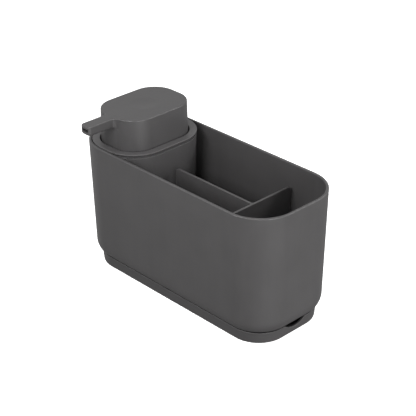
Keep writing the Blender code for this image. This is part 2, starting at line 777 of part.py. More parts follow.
def make_head(frame):
    """Hollow cap with the spout joined on. The head's own zero is its skirt's lower edge."""
    height = head_top - head_bottom
    levels = [(HEAD_PLAN, head_inset(head_bottom), 0), (HEAD_PLAN, 0, height)]
    head = shell("pump_head", levels, HEAD_WALL, faces_up=True)
    attach(head, frame, (bottle_x, 0, head_bottom))
    round_edges(head, HEAD_ROUND)
    join(head, spout_tool())
    bore_z = channel_height + pump_seat - head_bottom
    socket = rod_tool("spout_socket", CHANNEL_RADIUS + SEAT_GAP,
                      (0, spout_root_y + CUT_OVERRUN, bore_z),
                      (0, spout_root_y - CHANNEL_PLUG_LENGTH, bore_z))
    cut(head, socket)
    bore = rod_tool("spout_bore", SPOUT_BORE_RADIUS, (0, spout_root_y, bore_z),
                    (0, spout_tip_y + OUTLET_DEPTH / 2, bore_z))
    cut(head, bore)
    outlet_z = height - SPOUT_TIP_THICKNESS / 2
    outlet = box_tool("spout_outlet",
                      (-OUTLET_WIDTH / 2, spout_tip_y - CUT_OVERRUN, outlet_z - OUTLET_HEIGHT / 2),
                      (OUTLET_WIDTH / 2, spout_tip_y + OUTLET_DEPTH, outlet_z + OUTLET_HEIGHT / 2))
    cut(head, outlet)
    finish(head, moulding_material("head_grey", (0.104, 0.101, 0.100), 0.44))


def make_channel(frame):
    """Elbow from the stem's top to the spout. Its zero is the pump's seat, like all below."""
    radius = stem_clear + STEM_SOCKET_WALL
    channel = turned("soap_channel", [(0, socket_top), (radius, socket_top), (radius, socket_low),
                                      (0, socket_low)], FINE_TURN_STEPS)
    attach(channel, frame, (bottle_x, 0, pump_seat))
    end_y = spout_root_y - CHANNEL_PLUG_LENGTH + SEAT_GAP
    z = channel_height
    join(channel, rod_tool("channel_tube", CHANNEL_RADIUS, (0, 0, z), (0, end_y, z)))
    cut(channel, rod_tool("stem_socket", stem_clear, (0, 0, socket_low - CUT_OVERRUN),
                          (0, 0, stem_top + SEAT_GAP)))
    cut(channel, rod_tool("riser_bore", channel_bore, (0, 0, stem_top), (0, 0, z)))
    cut(channel, rod_tool("tube_bore", channel_bore, (0, channel_bore, z),
                          (0, end_y - CUT_OVERRUN, z)))
    finish(channel, moulding_material("channel_white", (0.75, 0.75, 0.73), 0.4))


# Pump pieces turned about the pump's axis, with their zero at the pump's seat
def make_stem(frame):
    stem = turned("pump_stem", tube_profile(STEM_RADIUS, stem_bore, piston_low, stem_top),
                  FINE_TURN_STEPS)
    attach(stem, frame, (bottle_x, 0, pump_seat))
    finish(stem, moulding_material("stem_white", (0.75, 0.75, 0.73), 0.35))


def make_rod(frame):
    """Plug in the stem's lower end. Its flange takes the spring, and its boss centres it."""
    shank = stem_bore - SEAT_GAP
    boss = spring_radius - SPRING_WIRE_RADIUS - SEAT_GAP
    boss_low = rod_flange_low - ROD_BOSS_LENGTH
    flange = cylinder_bore - ROD_CLEARANCE
    rod = turned("piston_rod", [
        (0, rod_flange_top + ROD_LENGTH), (shank, rod_flange_top + ROD_LENGTH),
        (shank, rod_flange_top), (flange, rod_flange_top),
        (flange, rod_flange_low), (boss, rod_flange_low), (boss, boss_low),
        (0, boss_low),
    ], FINE_TURN_STEPS)
    attach(rod, frame, (bottle_x, 0, pump_seat))
    finish(rod, moulding_material("rod_white", (0.72, 0.72, 0.70), 0.4))


def make_piston(frame):
    """Sleeve with a lip at each end and a waist between them."""
    outer = cylinder_bore - SEAT_GAP
    waist = outer - PISTON_WAIST
    piston = turned("pump_piston", [
        (outer, piston_top), (outer, piston_top - PISTON_LIP), (waist, piston_top - 2 * PISTON_LIP),
        (waist, piston_low + 2 * PISTON_LIP), (outer, piston_low + PISTON_LIP), (outer, piston_low),
        (stem_clear, piston_low), (stem_clear, piston_top),
    ], TURN_STEPS)
    attach(piston, frame, (bottle_x, 0, pump_seat))
    finish(piston, moulding_material("piston_natural", (0.62, 0.62, 0.58), 0.45))


def make_guide(frame):
    """Bush with a flange. It closes the cylinder and guides the stem."""
    sleeve = cylinder_bore - SEAT_GAP
    guide = turned("stem_guide", [
        (guide_flange_radius, guide_flange_top), (guide_flange_radius, guide_flange_low),
        (sleeve, guide_flange_low), (sleeve, sleeve_low),
        (stem_clear, sleeve_low), (stem_clear, guide_flange_top),
    ])
    attach(guide, frame, (bottle_x, 0, pump_seat))
    finish(guide, moulding_material("guide_white", (0.75, 0.75, 0.73), 0.4))


def make_collar(frame):
    """Screw cap over the neck. Its roof holds down the guide's flange."""
    outer = collar_bore + COLLAR_WALL
    low = COLLAR_FOOT_GAP - NECK_HEIGHT
    hole = stem_clear + SEAT_GAP
    collar = turned("pump_collar", [
        (outer - COLLAR_ROUND, collar_top), (outer, collar_top - COLLAR_ROUND), (outer, low),
        (collar_bore, low), (collar_bore, collar_roof_low), (hole, collar_roof_low),
        (hole, collar_top),
    ])
    attach(collar, frame, (bottle_x, 0, pump_seat))
    finish(collar, moulding_material("collar_grey", (0.10, 0.10, 0.10), 0.5))


def make_neck_gasket(frame):
    gasket = turned("neck_gasket", tube_profile(neck_radius - SEAT_GAP, neck_bore, SEAT_GAP,
                                                SEAT_GAP + NECK_GASKET_THICKNESS))
    attach(gasket, frame, (bottle_x, 0, pump_seat))
    finish(gasket, moulding_material("washer_foam", (0.6, 0.6, 0.58), 0.8))


def make_cylinder(frame):
    """Housing from the flange down to the dip tube's socket, with the ball's cage and seat."""
    flange = neck_radius - SEAT_GAP
    nose = tube_clear + SOCKET_WALL
    barrel_low = spring_shoulder - CYLINDER_WALL
    nose_top = barrel_low - (CYLINDER_RADIUS - nose)
    cylinder = turned("pump_cylinder", [
        (flange, cylinder_flange_top), (flange, cylinder_flange_low),
        (CYLINDER_RADIUS, cylinder_flange_low), (CYLINDER_RADIUS, barrel_low),
        (nose, nose_top), (nose, tube_socket_low), (tube_clear, tube_socket_low),
        (tube_clear, tube_ledge),
        (INLET_RADIUS, tube_ledge), (INLET_RADIUS, seat_low), (BALL_CAGE_RADIUS, cage_low),
        (BALL_CAGE_RADIUS, spring_shoulder), (cylinder_bore, spring_shoulder),
        (cylinder_bore, cylinder_flange_top),
    ])
    attach(cylinder, frame, (bottle_x, 0, pump_seat))
    finish(cylinder, moulding_material("cylinder_natural", (0.70, 0.70, 0.67), 0.4))


def spring_points():
    """Centre line of the coil, from its lower seat to its upper one."""
    low = spring_low + SPRING_WIRE_RADIUS
    high = spring_top - SPRING_WIRE_RADIUS
    count = SPRING_TURNS * SPRING_POINTS_PER_TURN
    points = []
    for index in range(count + 1):
        angle = 2 * math.pi * index / SPRING_POINTS_PER_TURN
        height = low + (high - low) * index / count
        points.append(Vector((spring_radius * math.cos(angle), spring_radius * math.sin(angle), height)))
    return points


def least_coil_gap(points):
    """Smallest distance between wire surfaces of neighbouring turns."""
    least = math.inf
    for index, point in enumerate(points):
        for other in points[index + SPRING_POINTS_PER_TURN // 2:]:
            least = min(least, (other - point).length)
    return least - 2 * SPRING_WIRE_RADIUS


def make_spring(frame):
    points = spring_points()
    print(f"least gap in return_spring: {least_coil_gap(points) * MM_PER_METRE:.2f} mm")
    curve = bpy.data.curves.new("return_spring", "CURVE")
    curve.dimensions = "3D"
    curve.bevel_depth = SPRING_WIRE_RADIUS
    curve.bevel_resolution = 1
    curve.use_fill_caps = True
    spline = curve.splines.new("POLY")
    spline.points.add(len(points) - 1)
    for target, point in zip(spline.points, points):
        target.co = (*point, 1)
    spring = new_object("return_spring", curve, parts)
    attach(spring, frame, (bottle_x, 0, pump_seat))
    finish(spring, moulding_material("spring_steel", (0.6, 0.6, 0.6), 0.25, 1.0))


def make_ball(frame):
    """Check ball, one seat gap above the cone that it closes."""
    cone_run = BALL_CAGE_RADIUS - INLET_RADIUS
    cone_length = math.hypot(cone_run, BALL_SEAT_DEPTH)
    radius = BALL_CAGE_RADIUS - BALL_CLEARANCE
    centre = seat_low + ((radius + SEAT_GAP) * cone_length - INLET_RADIUS * BALL_SEAT_DEPTH) / cone_run
    bm = bmesh.new()
    bmesh.ops.create_uvsphere(bm, u_segments=FINE_TURN_STEPS, v_segments=FINE_TURN_STEPS // 2,
                              radius=radius)
    ball = mesh_object("inlet_ball", bm, parts)
    attach(ball, frame, (bottle_x, 0, pump_seat + centre))
    finish(ball, moulding_material("ball_steel", (0.6, 0.6, 0.6), 0.2, 1.0))


def make_dip_tube(frame):
    top = tube_ledge - SEAT_GAP
    low = bottle_base + BOTTLE_WALL + DIP_TUBE_FLOOR_GAP - pump_seat
    tube = turned("dip_tube", tube_profile(DIP_TUBE_RADIUS, DIP_TUBE_RADIUS - DIP_TUBE_WALL, low, top),
                  FINE_TURN_STEPS)
    attach(tube, frame, (bottle_x, 0, pump_seat))
    finish(tube, moulding_material("tube_natural", (0.72, 0.72, 0.70), 0.35))


clear_scene()
parts = new_collection("sink_organizer")
cutters = new_collection("cutters")

tray_frame = new_empty("tray_frame", None, (0, 0, 0))
caddy_lift = new_empty("caddy_lift", tray_frame, (0, 0, body_underside))
divider_lift = new_empty("divider_lift", caddy_lift, (CROSS_WALL_X, 0, body_floor))
bottle_lift = new_empty("bottle_lift", caddy_lift, (bottle_x, 0, bottle_base))
lid_lift = new_empty("lid_lift", bottle_lift, (bottle_x, 0, lid_top))
press_stroke = new_empty("press_stroke", lid_lift, (bottle_x, 0, pump_seat))

make_tray(tray_frame)
make_feet(tray_frame)
make_body(caddy_lift)
make_divider(divider_lift)
make_bottle(bottle_lift)
make_lid(lid_lift)
make_lid_gasket(lid_lift)
make_neck_gasket(lid_lift)
make_cylinder(lid_lift)
make_guide(lid_lift)
make_collar(lid_lift)
make_spring(lid_lift)
make_ball(lid_lift)
make_dip_tube(lid_lift)
make_head(press_stroke)
make_channel(press_stroke)
make_stem(press_stroke)
make_rod(press_stroke)
make_piston(press_stroke)
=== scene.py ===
import bmesh
import bpy
import numpy as np
from mathutils import Matrix, Vector


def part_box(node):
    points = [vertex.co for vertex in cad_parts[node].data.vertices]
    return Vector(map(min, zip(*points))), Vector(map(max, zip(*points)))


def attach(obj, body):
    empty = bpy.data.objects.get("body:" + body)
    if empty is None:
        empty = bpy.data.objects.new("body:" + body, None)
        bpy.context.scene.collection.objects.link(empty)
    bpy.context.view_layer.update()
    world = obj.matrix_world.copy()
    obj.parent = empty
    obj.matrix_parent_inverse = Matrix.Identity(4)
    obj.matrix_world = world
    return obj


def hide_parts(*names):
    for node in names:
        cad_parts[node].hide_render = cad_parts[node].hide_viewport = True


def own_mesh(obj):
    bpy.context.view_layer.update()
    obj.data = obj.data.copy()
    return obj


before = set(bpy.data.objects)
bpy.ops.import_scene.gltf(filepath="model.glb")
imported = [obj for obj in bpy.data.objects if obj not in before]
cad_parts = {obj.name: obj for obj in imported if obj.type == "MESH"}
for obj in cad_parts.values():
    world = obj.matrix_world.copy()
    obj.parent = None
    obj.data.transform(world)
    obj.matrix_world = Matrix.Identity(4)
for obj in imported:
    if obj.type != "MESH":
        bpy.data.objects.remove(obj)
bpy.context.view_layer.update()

mm = 0.001               # sizes below are in millimetres, meshes in metres
overrun = 1.0            # how far a cutting tool passes the face that it opens
print("frame loaded:", len(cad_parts), "nodes")


class Values(dict):      # a dictionary whose values are also read as attributes
    __getattr__ = dict.__getitem__


def measured(node):
    # Lowest and highest corner of a CAD node at rest, in millimetres
    low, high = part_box(node)
    return np.array(low) / mm, np.array(high) / mm


def heights(node):
    # Its lowest and highest z
    return [corner[2] for corner in measured(node)]


bodyLow, bodyHigh = measured("caddy_body")
wallLow, wallHigh = measured("divider")
lidLow, lidHigh = measured("bottle_lid")
headLow, headHigh = measured("pump_head")
pumpX = (lidLow[0] + lidHigh[0]) / 2      # the pump's upright axis stands at this x, y 0


# Profiles carried round a plan
def roundedProfile(corners, closed=False, steps=6, hold=0.9):
    # Corners are (half length, half depth, plan radius, height, rounding). Each becomes an arc that touches
    # both its sides: start + rounding * (sin(a) * way in + (1 - cos(a)) * way across). Lengths are measured
    # across half length and height. Two rows are held near the ends of each side, so that it shades flat.
    # A profile that isn't closed starts and ends in a pole at the height of its first and last corner.
    if not closed:
        corners = [(0, 0, 0, corners[0][3], 0), *corners, (0, 0, 0, corners[-1][3], 0)]
    table = np.array(corners, float)
    points, rounding = table[:, :4], table[:, 4]
    step = np.roll(points, -1, axis=0) - points
    length = np.hypot(step[:, 0], step[:, 3])
    ahead = step / np.maximum(length, 1e-9)[:, None]
    behind = np.roll(ahead, 1, axis=0)
    if not closed:
        behind[0], ahead[-1] = ahead[0], behind[-1]
    cosTurn = np.clip(behind[:, 0] * ahead[:, 0] + behind[:, 3] * ahead[:, 3], -1, 1)
    turn = np.arccos(cosTurn)
    across = (ahead - cosTurn[:, None] * behind) / np.maximum(np.sin(turn), 1e-9)[:, None]
    reach = rounding * np.tan(turn / 2)
    start = points - reach[:, None] * behind
    angle = turn[:, None, None] * np.linspace(0, 1, steps)[None, :, None]
    arcs = start[:, None] + rounding[:, None, None] * (
        np.sin(angle) * behind[:, None] + (1 - np.cos(angle)) * across[:, None])
    arcs = np.where((rounding > 0)[:, None, None], arcs, points[:, None])
    free = length - reach - np.roll(reach, -1)
    near = points + (reach + hold)[:, None] * ahead
    far = points + (length - np.roll(reach, -1) - hold)[:, None] * ahead
    rows = np.concatenate([arcs, near[:, None], far[:, None]], axis=1)
    keep = np.ones(rows.shape[:2], bool)
    keep[:, 1:steps] = (rounding > 0)[:, None]
    keep[:, steps:] = (free > 3 * hold)[:, None]
    if not closed:
        keep[-1, steps:] = False
    return rows[keep]


def carried(rows, centre=(0, 0), cornerSteps=16, sideSteps=6):
    # Each row goes round a rounded rectangle: corner centre + radius * (cos, sin), a quarter turn at each
    # corner, and the straight side to the next corner in equal parts. Where the radius is half the length
    # and half the depth, the row is a circle. The arrays run over x and y, rows, corners and steps.
    half = rows.T[:2, :, None, None]
    radius, height = rows[:, 2, None, None], rows[:, 3, None]
    sign = np.array([[1, -1, -1, 1], [1, 1, -1, -1]])[:, None, :, None]
    angle = np.pi / 2 * (np.arange(4)[:, None] + np.linspace(0, 1, cornerSteps + 1))
    corners = sign * (half - radius) + radius * np.stack([np.cos(angle), np.sin(angle)])[:, None]
    share = np.arange(1, sideSteps) / sideSteps
    sides = corners[..., -1:] * (1 - share) + np.roll(corners[..., :1], -1, axis=2) * share
    x, y = np.concatenate([corners, sides], axis=3).reshape(2, len(rows), -1)
    return np.stack([x + centre[0], y + centre[1], np.broadcast_to(height, x.shape)], axis=-1)


def turned(corners, centre=(0, 0), closed=True, steps=4, hold=0.5, cornerSteps=14):
    # A profile of (radius, height, rounding) carried round a circle
    rows = roundedProfile([(r, r, r, z, rounding) for r, z, rounding in corners], closed, steps, hold)
    return carried(rows, centre, cornerSteps, 1)


def gridFaces(rowCount, columnCount, closed=False):
    # Quads between neighbouring rows and columns. Columns come round again, and so do closed rows.
    row = np.arange(rowCount if closed else rowCount - 1)[:, None]
    column = np.arange(columnCount)[None, :]
    nextRow = (row + 1) % rowCount
    nextColumn = (column + 1) % columnCount
    quads = [row * columnCount + column, row * columnCount + nextColumn,
             nextRow * columnCount + nextColumn, nextRow * columnCount + column]
    return np.stack(quads, axis=-1).reshape(-1, 4)


def quarterArc(count):
    # Shares of a radius round a quarter turn: 1 - sin, which falls from 1 to 0, and 1 - cos, which climbs
    turn = np.linspace(0, np.pi / 2, count)
    return 1 - np.sin(turn), 1 - np.cos(turn)


# Meshes
def linked(name, data):
    # A new object in the scene
    made = bpy.data.objects.new(name, data)
    bpy.context.scene.collection.objects.link(made)
    return made


def weld(mesh, reach=0.002):
    # Merges points closer than the reach, in millimetres, and turns every face outwards
    work = bmesh.new()
    work.from_mesh(mesh)
    bmesh.ops.remove_doubles(work, verts=work.verts[:], dist=reach * mm)
    bmesh.ops.recalc_face_normals(work, faces=work.faces[:])
    if work.calc_volume(signed=True) < 0:
        bmesh.ops.reverse_faces(work, faces=work.faces[:])
    work.to_mesh(mesh)
    work.free()
    return mesh


def solidMesh(points, faces):
    # Points in millimetres become a welded closed mesh
    mesh = bpy.data.meshes.new("solid")
    mesh.from_pydata((points.reshape(-1, 3) * mm).tolist(), [], faces)
    return weld(mesh)


def gridMesh(grid, closed=False):
    return solidMesh(grid, gridFaces(len(grid), grid.shape[1], closed).tolist())


def combined(mesh, *steps):
    # Exact union or difference with each group of separate tool meshes in turn, welded after each group so
    # that the next starts clean
    for operation, tools in steps:
        work = bmesh.new()
        for tool in tools:
            work.from_mesh(tool)
        joined = bpy.data.meshes.new("tools")
        work.to_mesh(joined)
        work.free()
        base, tool = linked("base", mesh), linked("tools", joined)
        change = base.modifiers.new("tools", "BOOLEAN")
        change.operation, change.solver, change.object = operation, "EXACT", tool
        bpy.context.view_layer.update()
        graph = bpy.context.evaluated_depsgraph_get()
        mesh = weld(bpy.data.meshes.new_from_object(base.evaluated_get(graph)), reach=0.001)
        for item in (base, tool):
            bpy.data.objects.remove(item, do_unlink=True)
    return mesh


# How sharply a surface must turn to count as an edge, which takes a lighter colour that is partly wear and
# partly a painted highlight
edgeWearAndHighlight = Values(
    flat=0.16,               # radians between two faces that don't count as an edge yet
    range=0.2,               # and the further turn to a full edge
)


def markEdges(mesh):
    # Attribute "edge": how sharply the surface turns outward at a vertex. For each mesh edge the turn is
    # the angle between its two faces, signed by whether the neighbour's centre lies below the first face.
    work = bmesh.new()
    work.from_mesh(mesh)
    pairs = [edge for edge in work.edges if len(edge.link_faces) == 2]
    ends = np.array([[vert.index for vert in edge.verts] for edge in pairs])
    normals = np.array([[face.normal[:] for face in edge.link_faces] for edge in pairs])
    centres = np.array([[face.calc_center_median()[:] for face in edge.link_faces] for edge in pairs])
    work.free()
    turn = np.arccos(np.clip((normals[:, 0] * normals[:, 1]).sum(1), -1, 1))
    outward = (normals[:, 0] * (centres[:, 1] - centres[:, 0])).sum(1) < 0
    strength = np.where(outward, np.clip((turn - edgeWearAndHighlight.flat) / edgeWearAndHighlight.range, 0, 1), 0)
    value = np.zeros(len(mesh.vertices), np.float32)
    np.maximum.at(value, ends.ravel(), np.repeat(strength, 2).astype(np.float32))
    mesh.attributes.new("edge", "FLOAT", "POINT").data.foreach_set("value", value)


def placePiece(name, mesh, body, nodes, slotName, sharp=32):
    # A finished piece: smooth, with edges past the sharp angle in degrees kept, on its body and in place of
    # its CAD nodes
    markEdges(mesh)
    mesh.name = name
    mesh.shade_smooth()
    mesh.set_sharp_from_angle(angle=np.radians(sharp))
    mesh.materials.clear()
    mesh.materials.append(finishes[slotName])
    piece = linked(name, mesh)
    weighted = piece.modifiers.new("flat faces stay flat", "WEIGHTED_NORMAL")
    weighted.keep_sharp = True
    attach(piece, body)
    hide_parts(*nodes)
    print("piece:", name, len(mesh.polygons), "faces")
    return piece


# Materials
class Shade:             # a node socket that Python arithmetic extends with Math nodes
    def __init__(self, maker, socket):
        self.maker, self.socket = maker, socket

    def maths(self, operation, *values):
        return self.maker.node("ShaderNodeMath", {"operation": operation}, dict(enumerate(values)))

    def __add__(self, other):
        return self.maths("ADD", self, other)

    def __sub__(self, other):
        return self.maths("SUBTRACT", self, other)

    def __rsub__(self, other):
        return self.maths("SUBTRACT", other, self)

    def __mul__(self, other):
        return self.maths("MULTIPLY", self, other)

    __radd__ = __add__
    __rmul__ = __mul__

    def over(self, low, high):      # 0 below low, 1 above high, smooth between
        return self.maker.node("ShaderNodeMapRange", {"interpolation_type": "SMOOTHSTEP"},
                               {"Value": self, "From Min": low, "From Max": high})


class Nodes:             # a node tree under way: node() adds a node, its settings first and then its sockets
    def __init__(self, owner):
        owner.use_nodes = True
        self.tree = owner.node_tree

    def node(self, kind, settings=None, sockets=None, output=0):
        made = self.tree.nodes.new(kind)
        for setting, value in (settings or {}).items():
            setattr(made, setting, value)
        for socket, value in (sockets or {}).items():
            self.feed(made.inputs[socket], value)
        return Shade(self, made.outputs[output])

    def feed(self, socket, value):
        if isinstance(value, Shade):
            self.tree.links.new(value.socket, socket)
        else:
            socket.default_value = value


class Finish(Nodes):     # a material: its constants sit on the shader's own sockets
    def __init__(self, name, **constants):
        self.material = bpy.data.materials.new(name)
        super().__init__(self.material)
        self.shader = self.tree.nodes["Principled BSDF"]
        self.set(**constants)

    def set(self, **sockets):
        for socket, value in sockets.items():
            self.feed(self.shader.inputs[socket.replace("_", " ")], value)
        return self.material

    def place(self, stretch=(1, 1, 1)):     # object coordinates
        where = self.node("ShaderNodeTexCoord", output="Object")
        return self.node("ShaderNodeMapping", {}, {"Vector": where, "Scale": stretch})

    def noise(self, size, detail=2.0, stretch=(1, 1, 1), roughness=0.5):    # size of a blob, in millimetres
        return self.node("ShaderNodeTexNoise", {}, {
            "Vector": self.place(stretch), "Scale": 1 / (size * mm), "Detail": detail,
            "Roughness": roughness})

    def cells(self, size):                  # distance to the nearest of scattered points
        return self.node("ShaderNodeTexVoronoi", {}, {"Vector": self.place(), "Scale": 1 / (size * mm)})

    def attribute(self, name):
        return self.node("ShaderNodeAttribute", {"attribute_name": name}, output="Fac")

    def mix(self, share, first, second):    # colours
        return self.node("ShaderNodeMix", {"data_type": "RGBA"}, {0: share, 6: first, 7: second}, output=2)

    def bump(self, height, depth, strength=1.0, below=None):   # depth in millimetres
        sockets = {"Height": height, "Distance": depth * mm, "Strength": strength}
        if below:
            sockets["Normal"] = below
        return self.node("ShaderNodeBump", {}, sockets)


def shaded(tone, share=1.0, lift=0.0):
    # A tone as a colour, darker or lighter by a share
    return tuple(channel * share + lift for channel in tone) + (1.0,)


mouldedLook = Values(
    grain=0.55,              # spark-eroded texture, size of a pit
    grainDepth=0.022,
    mottle=26.0,             # slow change of tone in the plastic
    flow=9.0,                # faint streaks along the way that it filled
    rub=3.2,                 # breaks up the lighter edges, which are partly rubbed wear and partly a painted highlight
    scuff=7.0,
)


def mouldedPlastic(name, tone, roughness, flowAlong=(1, 1, 0.12), grain=1.0, wearAndHighlight=1.0):
    # Through-coloured matt plastic: fine pits in bump, slow mottle and flow in tone, and edges that are
    # burnished and lighter; the lighter colour is partly wear and partly a painted highlight
    look = mouldedLook
    finish = Finish(name, IOR=1.49)
    mottle = finish.noise(look.mottle, 3.0)
    flow = finish.noise(look.flow, 2.0, flowAlong)
    fine = finish.noise(look.grain * grain, 2.5)
    pits = finish.cells(look.grain * grain * 1.7)
    # Edge mask: lowers the roughness as burnish, and lightens the colour, partly as wear and partly as a
    # painted highlight along the rims
    edge = finish.attribute("edge") * finish.noise(look.rub, 4.0).over(0.3, 0.62) * wearAndHighlight
    scuff = finish.noise(look.scuff, 6.0, (1, 5, 1), 0.62).over(0.56, 0.74)
    tint = mottle.over(0.3, 0.7) * 0.55 + flow.over(0.3, 0.7) * 0.3 + fine * 0.15
    plain = finish.mix(tint, shaded(tone, 0.93), shaded(tone, 1.07))
    rough = roughness + (mottle - 0.5) * 0.12 + (fine - 0.5) * 0.1 + scuff * 0.05 - edge * 0.16
    normal = finish.bump(fine * 0.6 + pits * 0.4, look.grainDepth * grain)
    # Lighter colour along the edges: partly wear, partly a painted highlight
    return finish.set(Base_Color=finish.mix(edge * 0.7, plain, shaded(tone, 1.5, 0.008)), Roughness=rough,
                      Normal=finish.bump(mottle, 0.05, 0.6, normal))


def rubber(name, tone, dustTone=(0.12, 0.115, 0.11)):
    finish = Finish(name, IOR=1.52)
    patch = finish.noise(4.0, 3.0)
    dust = finish.noise(1.3, 4.0).over(0.52, 0.7)
    base = finish.mix(patch, shaded(tone, 0.85), shaded(tone, 1.2))
    return finish.set(Base_Color=finish.mix(dust * 0.18, base, shaded(dustTone)),
                      Roughness=0.74 + (patch - 0.5) * 0.2, Normal=finish.bump(finish.noise(0.35, 3.0), 0.03))


def softClear(name, tone, roughness, cloud=6.0, ribs=0.0):
    # Milky plastic or silicone: light gets in a little way, and cloudy patches vary its tone
    finish = Finish(name, IOR=1.45, Subsurface_Weight=0.25, Subsurface_Scale=2.0 * mm)
    patch = finish.noise(cloud, 3.0)
    fine = finish.noise(0.5, 2.0)
    lines = finish.noise(0.8, 2.0, (1, 1, 0.04))
    colour = finish.mix(patch.over(0.3, 0.7) * 0.7 + lines * 0.3, shaded(tone, 0.9), shaded(tone))
    rough = roughness + (patch - 0.5) * 0.14 + (fine - 0.5) * 0.06
    return finish.set(Base_Color=colour, Roughness=rough,
                      Normal=finish.bump(fine * (1 - ribs) + lines * ribs, 0.012))


def steel(name, tone, roughness):
    finish = Finish(name, Metallic=1.0)
    lines = finish.noise(0.25, 3.0)
    patch = finish.noise(2.5, 2.0)
    rough = roughness + (lines - 0.5) * 0.12 + (patch - 0.5) * 0.08
    return finish.set(Base_Color=finish.mix(patch, shaded(tone, 0.88), shaded(tone)), Roughness=rough,
                      Normal=finish.bump(lines, 0.004))


finishes = {             # of each material slot: name, tone, roughness, and what its function adds
    "body_grey": mouldedPlastic("bodyPlastic", (0.058, 0.0559, 0.0568), 0.50, wearAndHighlight=0.6),
    # The tray's tone is darker than the body's plastic: painted shade for the shade under the body's overhang
    # and by the floor
    "tray_grey": mouldedPlastic("trayPlasticPaintedShade", (0.050, 0.0480, 0.0489), 0.52, (0.12, 1, 1)),
    "divider_grey": mouldedPlastic("dividerPlastic", (0.062, 0.0597, 0.0607), 0.52, (0.2, 0.2, 1), wearAndHighlight=0.4),
    "bottle_grey": mouldedPlastic("bottlePlastic", (0.065, 0.0626, 0.0637), 0.52),
    "lid_grey": mouldedPlastic("lidPlastic", (0.080, 0.0771, 0.0784), 0.50, (1, 0.2, 1), wearAndHighlight=0.3),
    "head_grey": mouldedPlastic("headPlastic", (0.0555, 0.0535, 0.0544), 0.47, (1, 0.15, 1), 0.8),
    "collar_grey": mouldedPlastic("collarPlastic", (0.060, 0.0582, 0.0590), 0.46, (1, 1, 0.2), 0.7),
    "foot_rubber": rubber("padRubber", (0.030, 0.030, 0.031)),
    "gasket_silicone": softClear("gasketSilicone", (0.46, 0.46, 0.45), 0.55),
    "washer_foam": softClear("washerFoam", (0.62, 0.62, 0.60), 0.8, 1.2),
    "pump_white": softClear("pumpWhite", (0.74, 0.74, 0.72), 0.36),
    "stem_white": softClear("stemWhite", (0.75, 0.75, 0.74), 0.26, 8.0, 0.3),
    "pump_natural": softClear("pumpNatural", (0.68, 0.68, 0.65), 0.42),
    "tube_natural": softClear("tubeNatural", (0.72, 0.72, 0.70), 0.34, 9.0, 0.8),
    "spring_steel": steel("springSteel", (0.62, 0.61, 0.60), 0.26),
    "ball_steel": steel("ballSteel", (0.66, 0.66, 0.66), 0.14),
}
print("materials made:", len(bpy.data.materials))


# Caddy body
caddy = Values(
    halfLength=(bodyHigh[0] - bodyLow[0]) / 2 + 0.01,        # to a sharp rim, a hair outside its rounding
    halfDepth=(bodyHigh[1] - bodyLow[1]) / 2 + 0.01,
    cornerRadius=34.9, wall=2.6, rim=122.5, under=bodyLow[2],
    draft=0.0245,            # how far the wall draws in for each millimetre down
    filletRadius=16.4,       # the outer base curve, which the underside cuts off
    filletTop=23.6,
    rimRound=0.95, underRound=0.35, floorRound=3.0,
    slotLength=20.0, slotWidth=3.0, slotPitch=28.0, slotEase=0.45,
    ribHeight=4.0, ribThickness=2.0, ribLength=18.0, ribRound=0.6,
    ribEnd=0.9,              # plan radius at the ribs' ends, as a share of half their thickness
    ribGap=1.5,              # from the middle of the cross wall to the ribs that hold it
    crossWallX=57.3,
    stopX=-45.0,             # left side of the rib against the bottle's rounded base
    stopHalf=36.59,
    postX=90.57, postY=25.57,
    socketRadius=4.8, socketDepth=1.0,
)
caddyPlan = (caddy.halfLength, caddy.halfDepth, caddy.cornerRadius)
postPlaces = [(x, y) for y in (-caddy.postY, caddy.postY) for x in (-caddy.postX, caddy.postX)]


def planRow(plan, inset, height, rounding=0.0):
    # One profile corner on a plan (half length, half depth, corner radius), drawn in by the inset
    return (plan[0] - inset, plan[1] - inset, plan[2] - inset, height, rounding)


def caddyInset(height):
    return caddy.draft * (caddy.rim - height)


def baseArc(offset, low, lowRound, steps=8):
    # Rows down the base curve: centre at its top, radius less the offset, until it meets the low height
    radius = caddy.filletRadius - offset
    angle = np.arcsin(min(1.0, (caddy.filletTop - low) / radius)) * np.linspace(0, 1, steps)
    inset = caddyInset(caddy.filletTop) + offset + radius * (1 - np.cos(angle))
    height = caddy.filletTop - radius * np.sin(angle)
    return [planRow(caddyPlan, *row) for row in zip(inset, height, [0] * (steps - 1) + [lowRound])]


def atPosts(*corners):
    # The same turned solid at each of the four posts
    return [gridMesh(turned(corners, place, closed=False)) for place in postPlaces]


